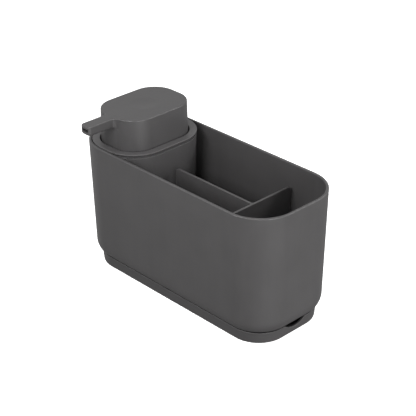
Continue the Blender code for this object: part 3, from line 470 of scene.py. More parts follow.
def makeCaddy():
    # The wall's profile goes round the plan: up from the base curve, over the rim and down inside. Low ribs
    # join on, and the drain slots and the sockets for the tray's posts are cut.
    size = caddy
    floor = size.under + size.wall
    rims = [planRow(caddyPlan, inset, size.rim, size.rimRound) for inset in (0, size.wall)]
    rows = roundedProfile(baseArc(0.0, size.under, size.underRound)[::-1] + rims
                          + baseArc(size.wall, floor, size.floorRound), hold=1.5)
    shell = gridMesh(carried(rows, cornerSteps=24, sideSteps=10))
    half = size.ribThickness / 2
    places = [(size.stopX + half, 0, size.stopHalf)]
    places += [(size.crossWallX + sideX * (half + size.ribGap), sideY * size.halfDepth / 2,
                size.ribLength / 2) for sideX in (-1, 1) for sideY in (-1, 1)]
    ribs = []
    for x, y, reach in places:
        plan = (half, reach, half * size.ribEnd)
        rows = roundedProfile([planRow(plan, 0, floor - size.wall / 2),
                               planRow(plan, 0, floor + size.ribHeight, size.ribRound)], hold=0.2)
        ribs.append(gridMesh(carried(rows, (x, y), 6, 8)))
    middle = (wallLow[0] + size.crossWallX) / 2
    endX = (size.crossWallX + size.halfLength - size.wall) / 2
    slots = [(middle + column * size.slotPitch, side * size.halfDepth / 2)
             for side in (-1, 1) for column in (-1, 0, 1)]
    slots += [(endX, side * size.halfDepth / 4) for side in (-1, 1)]
    plan, ease = (size.slotLength / 2, size.slotWidth / 2, size.slotWidth / 2), size.slotEase
    rows = roundedProfile([planRow(plan, 0, size.under - overrun), planRow(plan, 0, floor - ease),
                           planRow(plan, -2 * ease, floor + ease)])
    cuts = [gridMesh(carried(rows, place, 8, 2)) for place in slots]
    cuts += atPosts((size.socketRadius, size.under - overrun, 0),
                    (size.socketRadius, size.under + size.socketDepth, 0))
    mesh = combined(shell, ("UNION", ribs), ("DIFFERENCE", cuts))
    placePiece("caddyBody", mesh, "caddy", ["caddy_body"], "body_grey")


makeCaddy()


# Drip tray and its pads
tray = Values(
    inset=7.1,               # inside the body's plan
    top=11.4, under=heights("drip_tray")[0], wall=2.0, draft=0.09,
    footRound=1.3, rimRound=0.4, floorRound=2.0,
    notchWidth=24.0, notchDepth=4.5,
    bossRadius=8.5, bossTop=4.6, bossRound=0.5, bossFillet=1.2,
    postRadius=4.5, postTop=heights("drip_tray")[1],
    pocketRadius=6.8, pocketDepth=1.8, pocketRound=0.3,
)
pad = Values(radius=6.5, top=2.3, edgeRound=0.5, topRound=0.3,
             groove=4.4, grooveWidth=0.8, grooveDepth=0.35, grooveRound=0.1)


def makeTray():
    # Up the outside, over the rim and down inside, with four posts joined on and the pads' pockets cut
    size = tray
    height, floor = size.top - size.under, size.under + size.wall
    lean, inner = size.draft * height, size.inset + size.wall
    rows = roundedProfile([
        planRow(caddyPlan, size.inset + lean, size.under, size.footRound),
        planRow(caddyPlan, size.inset, size.top, size.rimRound),
        planRow(caddyPlan, inner, size.top, size.rimRound),
        planRow(caddyPlan, inner + lean, floor, size.floorRound)])
    grid = carried(rows, cornerSteps=24, sideSteps=26)
    # The notch lowers the rim at the +X end by a circle's arc: sqrt(r * r - y * y) less its value at the ends
    half, depth = size.notchWidth / 2, size.notchDepth
    radius = (half ** 2 + depth ** 2) / (2 * depth)
    sag = np.sqrt(np.maximum(radius ** 2 - grid[..., 1] ** 2, 0)) - (radius - depth)
    atRim = (grid[..., 0] > 0) & (grid[..., 2] > size.top - height / 3)
    grid[..., 2] -= np.where(atRim, np.maximum(sag, 0), 0)
    posts = atPosts(
        (size.bossRadius, floor - size.wall / 2, 0), (size.bossRadius, size.bossTop, size.bossRound),
        (size.postRadius, size.bossTop, size.bossFillet), (size.postRadius, size.postTop, size.bossRound))
    pockets = atPosts((size.pocketRadius, size.under - overrun, 0),
                      (size.pocketRadius, size.under + size.pocketDepth, size.pocketRound))
    mesh = combined(gridMesh(grid), ("UNION", posts), ("DIFFERENCE", pockets))
    placePiece("dripTray", mesh, "tray", ["drip_tray"], "tray_grey", sharp=26)


def makePads():
    # From the middle of the underside out past its groove, up the edge and in across the top
    size = pad
    inner, outer = size.groove - size.grooveWidth / 2, size.groove + size.grooveWidth / 2
    deep, soft = size.grooveDepth, size.grooveRound
    profile = [(inner, 0, soft), (inner, deep, soft), (outer, deep, soft), (outer, 0, soft),
               (size.radius, 0, size.edgeRound), (size.radius, size.top, size.topRound)]
    for name, place in zip(("front_left", "front_right", "back_left", "back_right"), postPlaces):
        mesh = gridMesh(turned(profile, place, closed=False, hold=0.2))
        placePiece("pad_" + name, mesh, "tray", ["foot_" + name], "foot_rubber")


makeTray()
makePads()


# Divider: the outline of a T, seen from above, carried up from its foot to its top edge
divider = Values(
    left=wallLow[0], half=wallHigh[1], low=wallLow[2], top=wallHigh[2],
    halfLow=43.78,           # at the foot, because the ends follow the body's drafted wall
    leanFrom=5.0,            # and they lean in beyond this y
    thickness=2.2, crossX=caddy.crossWallX,
    junction=1.6,            # fillet where the long wall meets the cross wall
    endRound=0.9, topRound=0.55, topCorner=4.5, footCorner=12.0,
    longEven=14.0,           # where even spacing starts, past the corners of the long wall
    crossEven=16.0,          # and of the cross wall
)


def makeDivider():
    size = divider
    half, crossX, thick = size.half, size.crossX, size.thickness / 2
    fillet, end = size.junction, size.endRound
    inner, bendX = half - thick - fillet, crossX - thick - fillet
    # Stations are crowded towards the rounded corners: corner radius * (1 - cos)
    bend = quarterArc(9)[1]
    drop, foot = size.topCorner * bend + end, size.footCorner * bend[2:]
    along = np.concatenate([size.left + drop, np.linspace(size.left + size.longEven, bendX, 8)])
    inwards = np.concatenate([drop, foot[foot > drop[-1]], np.linspace(size.crossEven, inner, 5)])
    outwards = half - np.unique(np.round(inwards, 4))[::-1]      # y from the junction to the end
    quarter = np.linspace(0, np.pi / 2, 6)[None, :]
    fall, climb = quarterArc(5)
    inset = size.topRound * np.concatenate([fall, climb])[:, None]
    height = np.concatenate([size.low + size.topRound * climb, size.top - size.topRound * fall])[:, None]

    def arc(centreX, centreY, radius, start, way=1):
        angle = np.radians(start) + way * quarter
        return centreX + radius * np.cos(angle), centreY + radius * np.sin(angle)

    face, tip, corner = thick - inset, half - end, thick - end
    parts = [np.broadcast_arrays(*part) for part in (
        (along, -face),
        arc(bendX, -thick - fillet, fillet + inset, 90, -1),
        (crossX - face, -outwards),
        arc(crossX - corner, -tip, end - inset, 180),
        arc(crossX + corner, -tip, end - inset, 270),
        (crossX + face, np.concatenate([-outwards[::-1], outwards])),
        arc(size.left + end, corner, end - inset, 90),
        arc(size.left + end, -corner, end - inset, 180))]
    parts[6:6] = [(x[:, ::-1], -y[:, ::-1]) for x, y in parts[4::-1]]      # the first five, mirrored
    x, y = (np.concatenate([part[i] for part in parts], axis=1) for i in (0, 1))

    def cornerDrop(radius, gap):
        # A corner of the elevation: r - sqrt(r * r - (r - distance to the end) ** 2)
        return radius - np.sqrt(radius ** 2 - np.clip(radius - gap, 0, radius) ** 2)

    upper = height > (size.low + size.top) / 2
    endGap = half - np.abs(y)
    z = height + np.where(upper, -cornerDrop(size.topCorner, np.minimum(endGap, x - size.left)),
                          cornerDrop(size.footCorner, endGap))
    nearEnd = np.clip((np.abs(y) - size.leanFrom) / (half - size.leanFrom), 0, 1)
    y = y - np.where(upper, 0, np.sign(y) * nearEnd * (half - size.halfLow))
    # The foot and the top are closed by quads across each wall, a cap at each end and one at the junction
    columns = x.shape[1]
    first = np.cumsum([0] + [part[0].shape[1] for part in parts])
    span = [np.arange(low, high) for low, high in zip(first, first[1:])]
    front, back = span[5][:len(outwards)], span[5][len(outwards):]
    pairs = [(span[0], span[10][::-1]), (span[2], front[::-1]), (span[8], back[::-1])]
    caps = [quad for one, two in pairs for quad in np.stack([one[:-1], one[1:], two[1:], two[:-1]], 1)]
    caps += [np.concatenate(cap) for cap in (
        [span[11], span[12], [span[0][0], span[10][-1]]],
        [[span[2][-1]], span[3], span[4], [front[0]]],
        [[back[-1]], span[6], span[7], [span[8][0]]],
        [[span[0][-1]], span[1], [span[2][0], front[-1], back[0], span[8][-1]], span[9], [span[10][0]]])]
    faces = gridFaces(len(height), columns).tolist()
    faces += [list(cap + start) for start in (0, (len(height) - 1) * columns) for cap in caps]
    mesh = solidMesh(np.stack([x, y, z], axis=-1), faces)
    placePiece("divider_T", mesh, "divider", ["divider"], "divider_grey", sharp=40)


makeDivider()


# Bottle and lid
bottle = Values(
    halfLength=36.2,         # of the lid's edge, which the bottle's wall lies inside
    halfDepth=46.9, cornerRadius=31.8,
    wall=2.0, base=heights("soap_bottle")[0], top=120.7, lidInset=0.4, baseRound=12.0,
    rebate=1.6,              # the step under the lid, which shows as a dark line
    rebateHeight=1.6,
)
lid = Values(
    top=lidHigh[2], sheet=1.8, edgeRound=0.4, underRound=1.3,
    wellRound=0.7, wellFloor=106.0, wellWall=1.8,
    plugLow=112.5, plugInset=4.25, lip=1.2,
    neckRadius=11.0, neckTop=113.5, neckBore=7.6,
    headGap=1.0,
)
head = Values(
    halfLength=27.334, halfDepth=38.034, cornerRadius=21.7,      # at the top
    draft=0.0200, top=headHigh[2], bottom=116.8, wall=2.0,
    topRound=1.0, skirtRound=0.5, ceilingRound=1.0,
    spoutHalf=5.75, spoutTip=headLow[1], spoutCorner=3.4, spoutFillet=3.5,
    tipThickness=9.0, rootThickness=10.0, underRound=3.0,
    spoutColumns=27,         # from the tip's middle to where the fillet meets the head
    skinHold=0.8, skirtHold=1.0,                 # from a rounding to the row that keeps the side flat
    leastCorner=0.25,        # of the spout's tip, at the edge of the top
    dishRadius=13.0, dishDepth=0.40,
    boreRadius=1.8, boreHeight=146.2,
    socketRadius=2.75, socketLength=14.5, socketEase=1.5,
    outletWidth=8.4, outletHeight=3.0, outletRound=0.7,
    outletRise=0.6,          # above the middle of the tip
    hollowWidth=9.2, hollowHeight=6.0, hollowRound=2.2,          # the space behind the outlet
    lip=1.4,                 # how thick the tip is round the outlet
    outletDepth=10.0,
)
bottlePlan = (bottle.halfLength, bottle.halfDepth, bottle.cornerRadius)
headPlan = (head.halfLength, head.halfDepth, head.cornerRadius)


def bottleInset(height):
    return bottle.lidInset + caddy.draft * (lid.top - height)


def headInset(height):
    # Negative below the top, because the head widens downwards
    return -head.draft * (head.top - height)


def oblongPiece(name, corners, closed, steps, hold, *where):
    # Corners of (plan, inset, height, rounding), carried round the bottle's axis
    rows = roundedProfile([planRow(*corner) for corner in corners], closed, steps, hold)
    placePiece(name, gridMesh(carried(rows, (pumpX, 0), 24), closed), *where)


def makeBottle():
    # Up the outside, in by the step under the lid, over the rim and down inside
    size = bottle
    floor = size.base + size.wall
    step = size.top - size.rebateHeight
    oblongPiece("soapBottle", [
        (bottlePlan, bottleInset(size.base), size.base, size.baseRound),
        (bottlePlan, bottleInset(step), step, 0.4),
        (bottlePlan, bottleInset(step) + size.rebate, step, 0.1),
        (bottlePlan, bottleInset(size.top) + size.rebate, size.top, 0.3),
        (bottlePlan, bottleInset(size.top) + size.wall, size.top, 0.3),
        (bottlePlan, bottleInset(floor) + size.wall, floor, size.baseRound - size.wall),
    ], False, 9, 0.9, "bottle", ["soap_bottle"], "bottle_grey")


def makeLid():
    # In over the top and down into the well, up and down the neck, out under the well and round the plug
    size = lid
    well = headInset(size.top) - size.headGap
    under = size.top - size.sheet
    floorUnder = size.wellFloor - size.sheet
    neck, bore = (size.neckRadius,) * 3, (size.neckBore,) * 3
    lip = size.plugInset - size.lip
    oblongPiece("bottleLid", [
        (bottlePlan, 0, size.top, size.edgeRound),
        (headPlan, well, size.top, size.wellRound),
        (headPlan, well, size.wellFloor, 1.4),
        (neck, 0, size.wellFloor, 0.8),
        (neck, 0, size.neckTop, 0.4),
        (bore, 0, size.neckTop, 0.3),
        (bore, 0, floorUnder, 0.3),
        (headPlan, well - size.wellWall, floorUnder, 1.6),
        (headPlan, well - size.wellWall, size.plugLow, 0.8),
        (bottlePlan, lip, size.plugLow, 0.4),
        (bottlePlan, lip, size.plugLow + size.lip, 0.3),
        (bottlePlan, size.plugInset, size.plugLow + size.lip, 0.2),
        (bottlePlan, size.plugInset, under, 0.4),
        (bottlePlan, 0, under, size.underRound),
    ], True, 6, 0.5, "lid", ["bottle_lid"], "lid_grey")


makeBottle()
makeLid()


# Press head and spout
def headHalf(spoutInset, headDraw, spout, steps=(4, 8, 8, 7, 22, 6, 22, 4)):
    # Right half of the outline in each row, from the tip's middle round to the back's middle. The spout's
    # side leaves the head by a fillet: its centre lies fillet + corner radius from the corner's centre.
    # Without the spout, the same columns stand on the head's front: those of the fillet straight behind it,
    # the others shared out over the spout's width.
    e, d = spoutInset[:, None], headDraw[:, None]
    centreX, centreY = headPlan[0] - headPlan[2], headPlan[1] - headPlan[2]
    radius = head.cornerRadius - d
    fillet = head.spoutFillet + e
    side = head.spoutHalf - e
    corner = np.maximum(head.spoutCorner - e, head.leastCorner)
    tip = head.spoutTip + e
    lean = np.arcsin((side + fillet - centreX) / (radius + fillet))
    filletY = -centreY - (radius + fillet) * np.cos(lean)
    shares = [np.linspace(0, 1, n + 1)[None, :-1] for n in steps]
    tipTurn = np.pi / 2 * shares[1]
    filletTurn = np.pi - (np.pi / 2 - lean) * shares[3]
    filletX = side + fillet + fillet * np.cos(filletTurn)
    withSpout = [
        ((side - corner) * shares[0], tip),
        (side - corner + corner * np.sin(tipTurn), tip + corner * (1 - np.cos(tipTurn))),
        (side, tip + corner + (filletY - tip - corner) * shares[2]),
        (filletX, filletY + fillet * np.sin(filletTurn)),
    ]
    spread = np.linspace(0, 1, sum(steps[:3]) + 1)[None, :-1]
    across = np.concatenate([side * spread, filletX], axis=1)
    bulge = np.sqrt(radius ** 2 - np.maximum(across - centreX, 0) ** 2)
    start = lean + (np.pi / 2 - lean) * shares[4]
    back = np.pi / 2 * shares[6]
    pieces = (withSpout if spout else [(across, -centreY - bulge)]) + [
        (centreX + radius * np.sin(start), -centreY - radius * np.cos(start)),
        (centreX + radius, -centreY + 2 * centreY * shares[5]),
        (centreX + radius * np.cos(back), centreY + radius * np.sin(back)),
        (centreX * np.linspace(1, 0, steps[7] + 1)[None, :], centreY + radius),
    ]
    pieces = [np.broadcast_arrays(*piece) for piece in pieces]
    return [np.concatenate([piece[i] for piece in pieces], axis=1) for i in (0, 1)]


def headRing(x, y, z):
    # Both halves: the right one, then the left one backwards without the two middle points
    right = np.stack(np.broadcast_arrays(x, y, z), axis=-1)
    return np.concatenate([right, right[:, -2:0:-1] * (-1, 1, 1)], axis=1)


def alongY(grid, height):
    # An upright grid laid along Y through the pump's axis, at the height
    return gridMesh(np.stack([grid[..., 0] + pumpX, grid[..., 2], grid[..., 1] + height], axis=-1))


def spoutTool(plan, start, end, height):
    # A straight tool of the plan's outline, from start to end along Y
    rows = roundedProfile([planRow(plan, 0, start), planRow(plan, 0, end)])
    return alongY(carried(rows, (0, 0), 8, 2), height)


def makeHead():
    size = head
    top, soft, under = size.top, size.topRound, size.underRound
    rootUnder = top - size.rootThickness
    rootY = headInset(rootUnder) - size.halfDepth
    rise = (size.rootThickness - size.tipThickness) / (rootY - size.spoutTip)
    fall, climb = quarterArc(7)
    # Skin with the spout. Rows: top rounding, the upright side, then the rounding under the spout, whose
    # height follows the underside: root height + rise * distance in front of the root.
    depth = np.append(soft * climb, soft + size.skinHold)
    inset = np.append(soft * fall, 0.0)
    x, y = headHalf(inset, inset + headInset(top - depth), True)
    upper = headRing(x, y, (top - depth)[:, None])
    level = rootUnder + under * fall
    x, y = headHalf(under * climb, headInset(level), True)
    skin = np.concatenate([upper, headRing(x, y, level[:, None] + rise * np.maximum(rootY - y, 0))])
    # Flat top: from the head's own outline to a circle at the same bearing, and down into a shallow dish
    rim = headRing(*headHalf(inset[:1], inset[:1], False), top)
    outline = rim[0, :, :2]
    circle = outline / np.linalg.norm(outline, axis=1)[:, None] * size.dishRadius
    share = np.array([0.04, 0.5, 0.96, 1.0])[:, None, None]      # two rows are held near the ends
    flat = outline * (1 - share) + circle * share
    inside = np.cos(np.linspace(0, np.pi / 2, 10))[:, None, None]
    dishZ = top - size.dishDepth * (1 - inside ** 2) ** 1.5
    topRows = np.concatenate([rim] + [
        np.concatenate([plan, np.broadcast_to(z, plan.shape[:2] + (1,))], axis=-1)
        for plan, z in ((flat, top), (circle * inside, dishZ))])
    # Outside below the spout, round the skirt's edge, up inside and across to the middle
    edge, wall, ceiling, arch = size.skirtRound, size.wall, top - size.wall, size.ceilingRound
    held = size.bottom + edge + size.skirtHold
    fall, climb = quarterArc(5)
    z = np.concatenate([
        [rootUnder, rootUnder - size.skirtHold, held], size.bottom + edge * fall,
        size.bottom + edge * climb, [held, ceiling - 2 * arch], ceiling - arch * fall])
    extra = np.concatenate([[0, 0, 0], edge * climb, wall - edge * fall, [wall, wall], wall + arch * climb])
    skirt = headRing(*headHalf(np.full(len(z), under), headInset(z) + extra, False), z[:, None])
    skirt = np.concatenate([skirt, skirt[-1:] * (0.5, 0.5, 1), skirt[-1:] * (0, 0, 1)])
    grids = [topRows, skin, skirt]
    columns = skin.shape[1]
    starts = np.cumsum([0] + [len(grid) * columns for grid in grids])
    faces = [face for grid, start in zip(grids, starts)
             for face in (gridFaces(len(grid), columns) + start).tolist()]
    # The spout's top and underside run from the skin to the head's front, column by column
    column = np.arange(-size.spoutColumns, size.spoutColumns)
    one, two = column % columns, (column + 1) % columns
    for skinRow, headRow in ((starts[1], starts[0]), (starts[2] - columns, starts[2])):
        faces += np.stack([skinRow + one, skinRow + two, headRow + two, headRow + one], axis=1).tolist()
    points = np.concatenate([grid.reshape(-1, 3) for grid in grids]) + (pumpX, 0, 0)
    # Cut along the spout: the channel's socket, the bore, the hollow and the outlet
    inner = size.wall + size.socketEase - size.halfDepth
    plug = inner - size.socketLength
    tip, middle = size.spoutTip, top - size.tipThickness / 2
    lip, deep = tip + size.lip, tip + size.outletDepth
    socket, bore = (size.socketRadius,) * 3, (size.boreRadius,) * 3
    hollow = (size.hollowWidth / 2, size.hollowHeight / 2, size.hollowRound)
    outlet = (size.outletWidth / 2, size.outletHeight / 2, size.outletRound)
    mesh = combined(solidMesh(points, faces), *(("DIFFERENCE", [spoutTool(*cut)]) for cut in (
        (socket, plug, inner, size.boreHeight),
        (bore, deep - overrun, plug + overrun, size.boreHeight),
        (hollow, lip, deep, middle),
        (outlet, tip - overrun, lip + overrun, middle + size.outletRise))))
    placePiece("pressHead", mesh, "press", ["pump_head"], "head_grey")


makeHead()


# Pump: pieces turned about its axis, as (radius, height, rounding), and their height is the CAD's
pump = Values(
    flangeRadius=10.7,       # of the cylinder and the washer under it
    flangeLow=114.9, flangeTop=116.3,
    barrelRadius=7.3, barrelBore=5.8, barrelLow=75.0, shoulder=76.5,
    bead=0.25,               # how far the moulded rings stand proud of the barrel
    rings=4, ringFirst=9.0, ringLast=5.0,        # their number, and the outer two's distance from the ends
    ringHalf=0.7, ringFoot=1.1,
    noseRadius=5.05, noseTop=72.75, noseLow=57.5,
    tubeBore=3.45, tubeLedge=67.5,
    inletRadius=1.7, seatLow=68.5, cageRadius=3.2, cageLow=70.5,
    sleeveRadius=5.5, sleeveLow=108.6, guideRadius=9.0, guideLow=116.6, guideTop=117.8,
    stemBore=3.6,            # where the stem passes with a gap
    waist=4.9, sealHeight=1.5, waistFrom=3.0,    # of the piston
    stemRadius=3.3, stemHole=1.9,
    tubeRadius=3.15, tubeHole=2.15,
    plugShank=1.6, plugFlange=5.0, plugBoss=3.75, plugLow=98.5, plugTop=100.0,
)
gasket = Values(width=1.058, groove=0.3, ridge=1.0, slope=0.4)
collar = Values(
    radius=13.9, bore=11.3, hole=3.9, low=107.0, roofLow=118.1, top=119.5, topRound=0.7,
    flutes=32,               # grip flutes round the side, between these heights
    fluteLow=108.4, fluteTop=117.9, fluteDepth=0.45,
    fluteEnd=0.1,            # rows this near to the flutes' ends stay round
)
spring = Values(
    radius=4.5, wire=0.45, turns=7, rowsPerTurn=28, wireColumns=12,
    endRun=1 / 3,            # how far the rounded ends run on, as a share of the wire's radius
    keep=0.533,              # share of its length that is left when the head is pressed
)
channel = Values(
    socketRadius=5.5, stemBore=3.6, stemTop=144.3,
    tubeRadius=2.5, tubeBore=1.7, riserBore=1.6, axis=head.boreHeight,
)


def turnedPiece(name, profile, body, node, slotName, closed=True, steps=5):
    # A profile of (radius, height, rounding) turned about the pump's axis
    grid = turned(profile, (pumpX, 0), closed, steps, 0.4)
    placePiece(name, gridMesh(grid, closed), body, [node], slotName)


def makeGaskets():
    # The mouth's ring has a shallow groove round its outside, and the neck's washer is a flat ring
    size = gasket
    low, high = measured("lid_gasket")
    outer = bottle.halfLength - (high[0] - pumpX)
    inner, groove = outer + size.width, outer + size.groove
    bottom, top = low[2], high[2]
    oblongPiece("mouthGasket", [
        (bottlePlan, outer, bottom, 0.3), (bottlePlan, outer, bottom + size.ridge, 0.15),
        (bottlePlan, groove, bottom + size.ridge + size.slope, 0.15),
        (bottlePlan, groove, top - size.ridge - size.slope, 0.15),
        (bottlePlan, outer, top - size.ridge, 0.15), (bottlePlan, outer, top, 0.3),
        (bottlePlan, inner, top, 0.2), (bottlePlan, inner, bottom, 0.2),
    ], True, 4, 0.2, "lid", ["lid_gasket"], "gasket_silicone")
    low, high = measured("neck_gasket")
    turnedPiece("neckWasher", [
        (lid.neckBore, low[2], 0.15), (pump.flangeRadius, low[2], 0.2),
        (pump.flangeRadius, high[2], 0.2), (lid.neckBore, high[2], 0.15),
    ], "lid", "neck_gasket", "washer_foam")


def makeCollar():
    size = collar
    radius, low, high = size.radius, size.fluteLow, size.fluteTop
    profile = [(size.bore, size.low, 0.3), (radius, size.low, 0.4), (radius, low, 0), (radius, high, 0),
               (radius, size.top, size.topRound), (size.hole, size.top, 0.3),
               (size.hole, size.roofLow, 0.2), (size.bore, size.roofLow, 0.5)]
    grid = turned(profile, steps=5, hold=0.4, cornerSteps=64)
    # Each flute presses the side in: depth * (half of 1 - cos(flutes * bearing)) to the power 1.5
    bearing = np.arctan2(grid[..., 1], grid[..., 0])
    press = size.fluteDepth * ((1 - np.cos(size.flutes * bearing)) / 2) ** 1.5
    onSide = np.hypot(grid[..., 0], grid[..., 1]) > radius - size.fluteEnd
    between = onSide & (grid[..., 2] > low + size.fluteEnd) & (grid[..., 2] < high - size.fluteEnd)
    grid[..., :2] *= (1 - np.where(between, press, 0) / radius)[..., None]
    grid[..., 0] += pumpX
    placePiece("pumpCollar", gridMesh(grid, True), "lid", ["pump_collar"], "collar_grey")


def makeCylinder():
    # Down the outside of flange, rings and nose, then up inside: tube's ledge, ball's seat, cage and bore
    size = pump
    barrel, bead = size.barrelRadius, size.barrelRadius - size.bead
    profile = [(size.flangeRadius, size.flangeTop, 0.3), (size.flangeRadius, size.flangeLow, 0.3),
               (bead, size.flangeLow, 0.6)]
    for centre in np.linspace(size.flangeLow - size.ringFirst, size.barrelLow + size.ringLast, size.rings):
        profile += [(bead, centre + size.ringFoot, 0.2), (barrel, centre + size.ringHalf, 0.2),
                    (barrel, centre - size.ringHalf, 0.2), (bead, centre - size.ringFoot, 0.2)]
    profile += [
        (bead, size.barrelLow, 0.8), (size.noseRadius, size.noseTop, 0.6),
        (size.noseRadius, size.noseLow, 0.4), (size.tubeBore, size.noseLow, 0.3),
        (size.tubeBore, size.tubeLedge, 0.2), (size.inletRadius, size.tubeLedge, 0.2),
        (size.inletRadius, size.seatLow, 0.1), (size.cageRadius, size.cageLow, 0.2),
        (size.cageRadius, size.shoulder, 0.3), (size.barrelBore, size.shoulder, 0.3),
        (size.barrelBore, size.flangeTop, 0.3)]
    turnedPiece("pumpHousing", profile, "lid", "pump_cylinder", "pump_natural")


def makePumpInside():
    # Each goes from inside its lower end out, up and back in. The plug and the ball have no bore.
    size = pump
    turnedPiece("stemGuide", [
        (size.stemBore, size.sleeveLow, 0.3), (size.sleeveRadius, size.sleeveLow, 0.4),
        (size.sleeveRadius, size.guideLow, 0.3), (size.guideRadius, size.guideLow, 0.3),
        (size.guideRadius, size.guideTop, 0.3), (size.stemBore, size.guideTop, 0.3),
    ], "lid", "stem_guide", "pump_white")
    low, high = heights("pump_piston")
    outer, waist = size.sleeveRadius, size.waist
    turnedPiece("sleevePiston", [
        (size.stemBore, low, 0.2), (outer, low, 0.15), (outer, low + size.sealHeight, 0.2),
        (waist, low + size.waistFrom, 0.4), (waist, high - size.waistFrom, 0.4),
        (outer, high - size.sealHeight, 0.2), (outer, high, 0.15), (size.stemBore, high, 0.2),
    ], "press", "pump_piston", "pump_natural")
    low, high = heights("piston_rod")
    turnedPiece("stemPlug", [
        (size.plugBoss, low, 0.5), (size.plugBoss, size.plugLow, 0.2),
        (size.plugFlange, size.plugLow, 0.3), (size.plugFlange, size.plugTop, 0.3),
        (size.plugShank, size.plugTop, 0.3), (size.plugShank, high, 0.4),
    ], "press", "piston_rod", "pump_white", closed=False)
    low, high = heights("pump_stem")
    turnedPiece("pressStem", [
        (size.stemHole, low, 0.2), (size.stemRadius, low, 0.4), (size.stemRadius, high, 0.3),
        (size.stemHole, high, 0.2),
    ], "press", "pump_stem", "stem_white")
    low, high = heights("dip_tube")
    turnedPiece("dipTube", [
        (size.tubeHole, low, 0.2), (size.tubeRadius, low, 0.3), (size.tubeRadius, high, 0.3),
        (size.tubeHole, high, 0.2),
    ], "lid", "dip_tube", "tube_natural")
    low, high = heights("inlet_ball")
    radius = (high - low) / 2
    turnedPiece("checkBall", [(radius, low, radius - 0.001), (radius, high, radius - 0.001)],
                "lid", "inlet_ball", "ball_steel", closed=False, steps=14)


def makeSpring():
    # The wire's centre: radius * (cos(angle), sin(angle)), rising evenly. A ring of wire round it lies across
    # its path: outward * cos(turn) + (path x outward) * sin(turn). The ends close to a point.
    low, high = heights("return_spring")
    size = spring
    rise = high - low - 2 * size.wire
    count = size.turns * size.rowsPerTurn
    angle = np.linspace(0, 2 * np.pi * size.turns, count + 1)
    outward = np.stack([np.cos(angle), np.sin(angle), 0 * angle], axis=1)
    path = size.radius * np.cross((0, 0, 1), outward) + (0, 0, rise / angle[-1])
    path /= np.linalg.norm(path, axis=1)[:, None]
    across = np.cross(path, outward)
    centre = outward * size.radius
    centre[:, 2] = low + size.wire + rise * np.linspace(0, 1, count + 1)
    turn = np.linspace(0, 2 * np.pi, size.wireColumns, endpoint=False)[None, :, None]
    ring = (outward[:, None] * np.cos(turn) + across[:, None] * np.sin(turn)) * size.wire
    grid = centre[:, None] + ring
    # Rounded ends: two more rings (end, way on, share of the ring) that shrink while they run on
    run = path * size.wire * size.endRun
    ends = [(0, -1, 0), (0, -0.7, 0.75), (-1, 0.7, 0.75), (-1, 1, 0)]
    rows = [(centre[i] + run[i] * way + ring[i] * share)[None] for i, way, share in ends]
    grid = np.concatenate(rows[:2] + [grid] + rows[2:]) + (pumpX, 0, 0)
    piece = placePiece("coilSpring", gridMesh(grid), "lid", ["return_spring"], "spring_steel", sharp=60)
    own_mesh(piece)


def makeChannel():
    # The socket over the stem and the tube to the spout, joined, then bored out
    size = channel
    low, high = measured("soap_channel")
    reach, bore = low[1], size.tubeBore

    def upright(*corners):
        return gridMesh(turned(corners, (pumpX, 0), closed=False))

    def level(*corners):
        return alongY(turned(corners, closed=False), size.axis)

    mesh = combined(
        upright((size.socketRadius, low[2], 0.5), (size.socketRadius, high[2], 0.8)),
        ("UNION", [level((size.tubeRadius, 0, 0), (size.tubeRadius, reach, 0.4))]),
        *(("DIFFERENCE", [tool]) for tool in (
            upright((size.stemBore, low[2] - overrun, 0), (size.stemBore, size.stemTop, 0.2)),
            upright((size.riserBore, size.stemTop - overrun, 0), (size.riserBore, size.axis, 0)),
            level((bore, bore, 0), (bore, reach - overrun, 0)))))
    placePiece("soapElbow", mesh, "press", ["soap_channel"], "pump_white")


makeGaskets()
makeCollar()
makeCylinder()
makePumpInside()
makeSpring()
makeChannel()


# Stage, lights and camera
photoView = Values(
    turn=46.351,             # degrees to the right of straight ahead
    rise=28.696,             # degrees above level
    roll=-0.432,
    distance=1131.59,
    right=2.275,             # how far the aim lies to the right of the origin and above it
    up=67.014,
    focal=1271.877,          # in pixels
    frame=416,               # the photograph's width and height in pixels
    sensor=36.0,
)


def makeCamera():
    # Turned about Z, tipped down and rolled, then moved back from the aim along its own axes
    size = photoView
    turn, rise, roll = np.radians([size.turn, size.rise, size.roll])
    camera = linked("photoCamera", bpy.data.cameras.new("photoCamera"))
    camera.data.sensor_width = size.sensor
    camera.data.lens = size.focal / size.frame * size.sensor
    camera.data.clip_start, camera.data.clip_end = 0.05, 20
    aimed = Matrix.Rotation(turn, 4, "Z") @ Matrix.Rotation(np.pi / 2 - rise, 4, "X")
    back = Vector((size.right, size.up, size.distance)) * mm
    camera.matrix_world = aimed @ Matrix.Rotation(roll, 4, "Z") @ Matrix.Translation(back)
    bpy.context.scene.camera = camera


studio = Values(
    horizon=(-0.15, 0.15),
    below=0.26,              # the strength of what comes from below the horizon
    above=0.24,              # and of the even part of the sky
    lobes={                  # soft lights in the sky: where each lies, cosines of its rim and core, strength
        "right": ((1, 0, 0.2), 0.2, 1.0, 0.50),
        "left": ((-1, 0, 0.3), 0.2, 1.0, 0.54),
        "back": ((0, 1, 0.4), 0.2, 1.0, 0.25),
    },
    backdrop=1.0,            # what the camera sees behind the floor's edge
    floor=2400.0,
    floorTone=(0.96, 0.96, 0.96),
    floorGlow=0.9,           # the floor's own light, which the camera alone sees
    aim=(0, 0, 60),
    boxes={                  # area lights: place, size and power
        "rightBox": ((800, -210, 180), (300, 300), 4.1),
        "frontBox": ((-540, -780, 740), (600, 500), 1.5),
        "nearBox": ((60, -430, 420), (260, 220), 2.1),
        "edgeBox": ((520, 660, 700), (260, 260), 3.6),           # glints on edges
    },
)


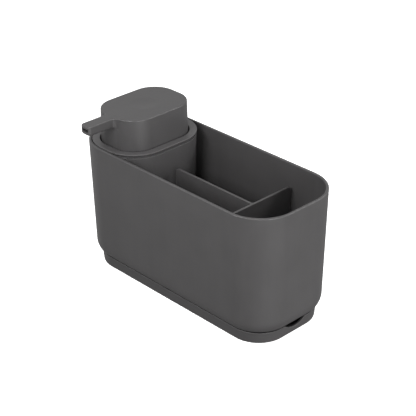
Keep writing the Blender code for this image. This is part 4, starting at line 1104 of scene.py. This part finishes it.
def areaLight(name, place, size, power):
    data = bpy.data.lights.new(name, "AREA")
    data.shape = "RECTANGLE"
    data.size, data.size_y, data.energy = size[0] * mm, size[1] * mm, power
    light = linked(name, data)
    light.location = Vector(place) * mm
    way = Vector(studio.aim) * mm - light.location
    light.rotation_euler = way.to_track_quat("-Z", "Y").to_euler()


def makeSky():
    # An even part above the horizon, the soft lights in it, and less from below
    world = bpy.data.worlds.new("studio")
    sky = Nodes(world)
    direction = sky.node("ShaderNodeTexCoord", output="Generated")
    share = sky.node("ShaderNodeSeparateXYZ", {}, {0: direction}, output=2).over(*studio.horizon)
    strength = studio.below + share * (studio.above - studio.below)
    for aim, rim, core, power in studio.lobes.values():
        towards = sky.node("ShaderNodeVectorMath", {"operation": "DOT_PRODUCT"},
                           {0: direction, 1: Vector(aim).normalized()}, output="Value")
        strength = strength + towards.over(rim, core) * power
    seen = sky.node("ShaderNodeLightPath", output="Is Camera Ray")
    background = sky.tree.nodes["Background"]
    background.inputs["Color"].default_value = (1, 1, 1, 1)
    sky.feed(background.inputs["Strength"], strength + seen * (studio.backdrop - strength))
    bpy.context.scene.world = world
    bpy.context.scene.view_settings.view_transform = "Standard"


def makeFloor():
    half = studio.floor * mm
    mesh = bpy.data.meshes.new("floor")
    corners = [(-half, -half, 0), (half, -half, 0), (half, half, 0), (-half, half, 0)]
    mesh.from_pydata(corners, [], [(0, 1, 2, 3)])
    finish = Finish("floorPaper", Specular_IOR_Level=0.2, Emission_Strength=studio.floorGlow)
    cloud = finish.noise(180.0, 2.0)
    colour = finish.mix(cloud, shaded(studio.floorTone, 0.985), shaded(studio.floorTone))
    finish.set(Base_Color=colour, Emission_Color=colour, Roughness=0.85 + (cloud - 0.5) * 0.1)
    mesh.materials.append(finish.material)
    floor = linked("floor", mesh)
    floor.visible_diffuse = False        # the white floor throws no light up on the object
    floor.visible_glossy = False


makeCamera()
makeSky()
makeFloor()
for name, box in studio.boxes.items():
    areaLight(name, *box)
print("camera and studio ready")
